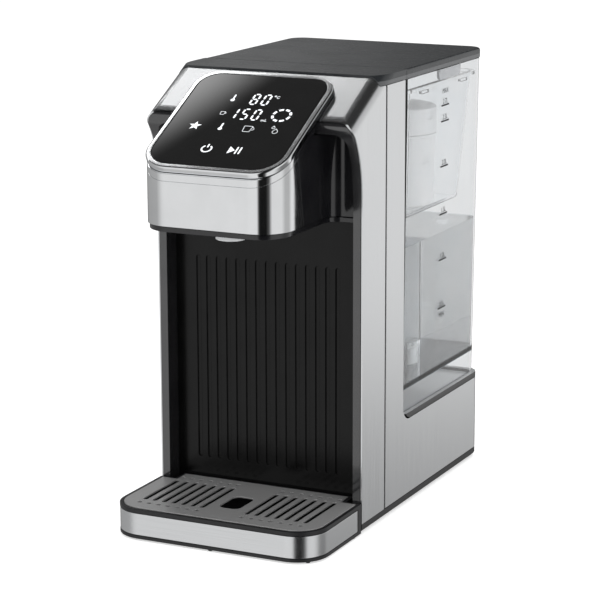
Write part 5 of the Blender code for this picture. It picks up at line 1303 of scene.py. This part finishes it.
# Each finish: slot, effect, stretch, smoothest and roughest gloss, darkest and lightest tone, relief, sockets
METAL = {"Metallic": 1.0}
CLEAR = {"Transmission Weight": 1.0}
FINISHES = {
    "brushed_steel": ("brushed_steel", BRUSHING, UPRIGHT, (0.16, 0.24), (0.76, 0.77, 0.78),
                      (0.82, 0.83, 0.84), 0.03, METAL),
    "tray_steel": ("brushed_steel", BRUSHING, ALONG, (0.16, 0.26), (0.72, 0.73, 0.74),
                   (0.79, 0.80, 0.81), 0.04, METAL),
    "grid_steel": ("brushed_steel", BRUSHING, SPARK, (0.30, 0.42), (0.46, 0.46, 0.46),
                   (0.56, 0.56, 0.56), 0.10, {"Metallic": 0.6}),
    "polished_steel": ("polished_steel", BRUSHING, SLOW, (0.05, 0.09), (0.84, 0.85, 0.86),
                       (0.88, 0.89, 0.90), 0.0, METAL),
    "zinc_plate": ("zinc_plated", BRUSHING, CRYSTAL, (0.30, 0.50), (0.50, 0.50, 0.47),
                   (0.66, 0.66, 0.62), 0.15, METAL),
    "heater_jacket": ("brushed_steel", BRUSHING, UPRIGHT, (0.35, 0.50), (0.52, 0.53, 0.55),
                      (0.66, 0.67, 0.69), 0.15, METAL),
    "black_gloss": ("black_gloss_plastic", GRAIN, SLOW, (0.06, 0.13), (0.006, 0.006, 0.007),
                    (0.010, 0.010, 0.011), 0.0, {"Specular IOR Level": 0.75}),
    "arch_black": ("black_gloss_plastic", GRAIN, SLOW, (0.10, 0.18), (0.012, 0.012, 0.013),
                   (0.018, 0.018, 0.019), 0.0,
                   {"Specular IOR Level": 0.9, "Coat Weight": 1.0, "Coat Roughness": 0.08}),
    "rib_black": ("black_satin_plastic", GRAIN, SLOW, (0.14, 0.24), (0.002, 0.002, 0.002),
                  (0.004, 0.004, 0.004), 0.0, {"Specular IOR Level": 0.26}),
    "black_satin": ("black_satin_plastic", GRAIN, SPARK, (0.30, 0.44), (0.008, 0.008, 0.009),
                    (0.014, 0.014, 0.015), 0.10, {"Specular IOR Level": 0.45}),
    "graphite": ("graphite_plastic", GRAIN, SPARK, (0.20, 0.30), (0.013, 0.015, 0.017),
                 (0.021, 0.024, 0.027), 0.08, {"Specular IOR Level": 0.5}),
    "pale_grey": ("pale_grey_plastic", GRAIN, SPARK, (0.30, 0.45), (0.56, 0.57, 0.58),
                  (0.62, 0.63, 0.64), 0.10, {}),
    "bay_grey": ("pale_grey_plastic", GRAIN, SPARK, (0.35, 0.50), (0.82, 0.83, 0.84),
                 (0.87, 0.88, 0.89), 0.10, {}),
    # The dock: black satin, with painted light on its upward faces from the tints below
    "dock_painted_light_top": ("black_satin_plastic", GRAIN, SPARK, (0.12, 0.22), (0.008, 0.008, 0.009),
                  (0.014, 0.014, 0.015), 0.05, {}),
    "white_plastic": ("white_plastic", GRAIN, SPARK, (0.22, 0.34), (0.88, 0.88, 0.88),
                      (0.92, 0.92, 0.92), 0.05, {}),
    "black_rubber": ("black_rubber", GRAIN, SPARK, (0.60, 0.80), (0.012, 0.012, 0.012),
                     (0.022, 0.022, 0.022), 0.30, {}),
    "silicone": ("pale_grey_plastic", GRAIN, SLOW, (0.35, 0.55), (0.60, 0.58, 0.54),
                 (0.72, 0.70, 0.66), 0.05, {"Subsurface Weight": 0.1}),
    "board_lacquer": ("black_satin_plastic", GRAIN, LACQUER, (0.25, 0.40), (0.015, 0.11, 0.04),
                      (0.03, 0.18, 0.07), 0.10, {}),
    "display_glass": ("display_glass", GRAIN, SLOW, (0.0, 0.02), (0.003, 0.003, 0.003),
                      (0.004, 0.004, 0.004), 0.0, {"Specular IOR Level": 0.45}),
    "dark_print": ("black_satin_plastic", GRAIN, SPARK, (0.45, 0.60), (0.010, 0.010, 0.012),
                   (0.030, 0.030, 0.032), 0.0, {}),
    "lit_marks": ("display_glass", GRAIN, SPARK, (0.40, 0.60), (0.55, 0.56, 0.58), (0.65, 0.66, 0.68),
                  0.0, {"Emission Color": (0.92, 0.96, 1.0, 1), "Emission Strength": 0.75}),
    "smoked_tab": ("smoked_plastic", GRAIN, SLOW, (0.10, 0.20), (0.46, 0.47, 0.49),
                   (0.54, 0.55, 0.57), 0.0, {"Transmission Weight": 0.6, "IOR": 1.46}),
    "clear_plastic": ("clear_plastic", GRAIN, SLOW, (0.0, 0.03), (0.96, 0.975, 0.985),
                      (0.985, 0.99, 0.995), 0.0, {**CLEAR, "IOR": 1.38}),
    "clear_funnel": ("clear_plastic", GRAIN, SLOW, (0.0, 0.05), (0.95, 0.965, 0.975),
                     (0.98, 0.985, 0.99), 0.0, {**CLEAR, "IOR": 1.36}),
    "water": ("clear_plastic", GRAIN, SLOW, (0.0, 0.01), (0.92, 0.95, 0.965),
              (0.95, 0.97, 0.98), 0.0, {**CLEAR, "IOR": 1.333}),
}
TINTS = (
    # Painted shade: the clear tank's floor band tinted dark grey-blue
    ("clear_plastic", "Z", TANK_FLOOR - FINE, TANK_FLOOR + TANK_FLOOR_THICK + FINE, (0.20, 0.23, 0.26)),
    # Painted light: the black dock's upward faces painted light grey
    ("dock_painted_light_top", "Up", UPWARD, 1 + FINE, (0.42, 0.43, 0.44)),
    ("bay_grey", "X", HALF - BAY_EDGE, HALF, (0.012, 0.012, 0.013)),
    # Painted highlight: a lighter band painted along the foot of the top cover's and the lid's sides
    ("graphite", "Z", COVER_LOW - FINE, COVER_LOW + COVER_PAINTED_HIGHLIGHT, (0.085, 0.088, 0.092)),
)
PLAIN_NODES = (
    ("black_rubber", ("foot_1", "foot_2", "foot_3", "foot_4", "nozzle_seal", "dock_seal", "pump_mount",
                      "tank_valve_seal")),
    ("silicone", ("outlet_hose", "inlet_hose", "pressure_hose")),
    ("board_lacquer", ("display_board", "power_board")),
    ("black_satin", ("water_pump", "thermostat")),
    ("zinc_plate", ("pump_motor", "heater_bracket", "power_board_bracket")),
    ("heater_jacket", ("flow_heater",)),
    ("pale_grey", ("tank_valve_plunger",)),
)

materials = {name: finish(name, *values) for name, (slot, *values) in FINISHES.items()}
for name in ("clear_plastic", "clear_funnel", "water"):
    blend_with_nothing(materials[name].node_tree, "Is Shadow Ray", SHADOW_SHARE)
for name, *values in TINTS:
    tint(materials[name].node_tree, *values)


def paint_carried_parts():
    """Give each carried-over part its finish."""
    for finish_name, nodes in PLAIN_NODES:
        for node in nodes:
            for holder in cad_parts[node].material_slots:
                holder.material = materials[finish_name]


# Studio
def make_world():
    """White for the camera, plain ambient light, and a studio seen only in reflections."""
    world = bpy.data.worlds.new("studio")
    bpy.context.scene.world = world
    world.use_nodes = True
    tree = world.node_tree
    tree.nodes.clear()
    place = add_node(tree, "TexCoord")
    parts = add_node(tree, "SeparateXYZ")
    wire(tree, (parts.inputs["Vector"], place.outputs["Generated"]))
    x, y, z = parts.outputs

    def sum_of(kind, *values):
        return reckon(tree, kind, *values)

    def step_up(value, span, start, end, kind="SMOOTHSTEP"):
        made = add_node(tree, "MapRange", interpolation_type=kind)
        for label, amount in zip(("From Min", "From Max", "To Min", "To Max"), (*span, start, end)):
            made.inputs[label].default_value = amount
        wire(tree, (made.inputs["Value"], value))
        return made.outputs["Result"]

    def grey_ramp(share, tones, low, high):
        made = add_node(tree, "ValToRGB")
        wire(tree, (made.inputs["Fac"], share))
        ramp = made.color_ramp
        while len(ramp.elements) > 1:
            ramp.elements.remove(ramp.elements[-1])
        for value, grey in tones:
            element = ramp.elements.new((value - low) / (high - low))
            element.color = (grey, grey, grey, 1)
        ramp.elements.remove(ramp.elements[0])
        return made.outputs["Color"]

    azimuth = sum_of("ARCTAN2", x, sum_of("MULTIPLY", y, -1.0))
    turn = sum_of("ADD", sum_of("DIVIDE", azimuth, math.tau), 0.5)
    walls = grey_ramp(turn, STUDIO_WALLS, -180, 180)
    behind = step_up(azimuth, BEHIND, 0.0, 1.0)
    sinking = step_up(z, FLOOR_FADE, FLOOR_FADE_DEPTH, 0.0)
    low_part = sum_of("MULTIPLY", walls, sum_of("SUBTRACT", 1.0, sum_of("MULTIPLY", behind, sinking)))
    across = sum_of("SUBTRACT", y, x)
    ceiling = grey_ramp(step_up(across, CEILING_RANGE, 0.0, 1.0, "LINEAR"), CEILING, *CEILING_RANGE)
    strip = sum_of("MULTIPLY", step_up(across, STRIP_START, 0.0, STRIP_LEVEL),
                   step_up(across, STRIP_END, 1.0, 0.0))
    overhead = sum_of("ADD", ceiling, strip)
    height = step_up(z, CEILING_START, 0.0, 1.0)
    share = sum_of("SUBTRACT", 1.0, height)
    seen = sum_of("ADD", sum_of("MULTIPLY", low_part, share), sum_of("MULTIPLY", overhead, height))

    path = add_node(tree, "LightPath")
    camera_ray = path.outputs["Is Camera Ray"]
    passed = path.outputs["Is Transmission Ray"]
    rear = step_up(y, REAR_WINDOW, 0.0, 1.0)
    lighting = sum_of("MINIMUM", path.outputs["Diffuse Depth"], 1.0)
    passed_open = sum_of("MULTIPLY", passed, sum_of("MAXIMUM", rear, lighting))
    glossy = add_node(tree, "Mix")
    glossy.inputs["A"].default_value = AMBIENT
    lift = sum_of("MULTIPLY", sum_of("MULTIPLY", passed, lighting), INSIDE_LIFT)
    whole = add_node(tree, "Mix")
    light = add_node(tree, "Background")
    light.inputs["Color"].default_value = (1, 1, 1, 1)
    output = add_node(tree, "OutputWorld")
    lowered = sum_of("MULTIPLY", whole.outputs["Result"], STUDIO_LEVEL)
    wire(tree,
         (glossy.inputs["Factor"], sum_of("MAXIMUM", path.outputs["Is Glossy Ray"], passed)),
         (glossy.inputs["B"], seen),
         (whole.inputs["Factor"], sum_of("MAXIMUM", camera_ray, passed_open)),
         (whole.inputs["A"], glossy.outputs["Result"]),
         (whole.inputs["B"], sum_of("ADD", lift, 1.0)),
         (light.inputs["Strength"], sum_of("MAXIMUM", lowered, camera_ray)),
         (output.inputs["Surface"], light.outputs["Background"]))


def make_floor():
    """White floor that keeps the object's shadow and leaves reflections to the studio."""
    pick()
    bpy.ops.mesh.primitive_plane_add(size=FLOOR_SIZE, location=(0, 0, 0))
    floor = bpy.context.object
    floor.name = "floor"
    made = bpy.data.materials.new("floor_white")
    made.use_nodes = True
    shader = made.node_tree.nodes["Principled BSDF"]
    for label, value in FLOOR_SOCKETS:
        shader.inputs[label].default_value = value
    blend_with_nothing(made.node_tree, "Is Glossy Ray")
    floor.data.materials.append(made)


def make_lamps():
    """Soft lamps that light the moulded parts and stay out of the reflections."""
    for name, place, size, energy in LAMPS:
        bpy.ops.object.light_add(type="AREA", location=place)
        lamp = bpy.context.object
        lamp.name = name
        lamp.data.size = size
        lamp.data.energy = energy
        lamp.visible_glossy = False
        lamp.rotation_euler = (LAMP_AIM - Vector(place)).to_track_quat("-Z", "Y").to_euler()


def make_camera():
    """Camera at the photograph's viewpoint."""
    right = Vector((math.cos(CAMERA_YAW), math.sin(CAMERA_YAW), 0))
    flat = math.cos(CAMERA_PITCH)
    back = Vector((math.sin(CAMERA_YAW) * flat, -math.cos(CAMERA_YAW) * flat, math.sin(CAMERA_PITCH)))
    up = back.cross(right)
    rolled_right = right * math.cos(CAMERA_ROLL) + up * math.sin(CAMERA_ROLL)
    rolled_up = up * math.cos(CAMERA_ROLL) - right * math.sin(CAMERA_ROLL)
    data = bpy.data.cameras.new("camera")
    data.sensor_width = SENSOR
    data.lens = FOCAL_PIXELS * SENSOR / IMAGE_WIDTH
    camera = bpy.data.objects.new("camera", data)
    bpy.context.scene.collection.objects.link(camera)
    turned_to = Matrix((rolled_right, rolled_up, back)).transposed().to_4x4()
    camera.matrix_world = Matrix.Translation(CAMERA_PLACE) @ turned_to
    bpy.context.scene.camera = camera


for make in (make_camera, make_world, make_floor, make_lamps, make_front_sheet, make_side_sheets,
             make_top_cover, make_lid, make_arch, make_back_panel, make_head_nose, make_head_base,
             make_neck, make_nozzle, make_display_plate, make_symbols, make_tray, make_grid, make_tank,
             make_water, make_valve_spring, make_scale, make_funnel, make_filter, make_screws):
    make()
for node in ("base_pan", "rear_panel", "left_bay_cap"):
    refine(node, "black_satin")
refine("tank_bay_wall", "bay_grey")
refine("tank_dock", "dock_painted_light_top")
refine("dock_socket", "black_satin")
refine("cord_gland", "black_rubber")
refine("tank_valve_housing", "white_plastic", "tank")
paint_carried_parts()
bpy.context.scene.view_settings.view_transform = "Standard"
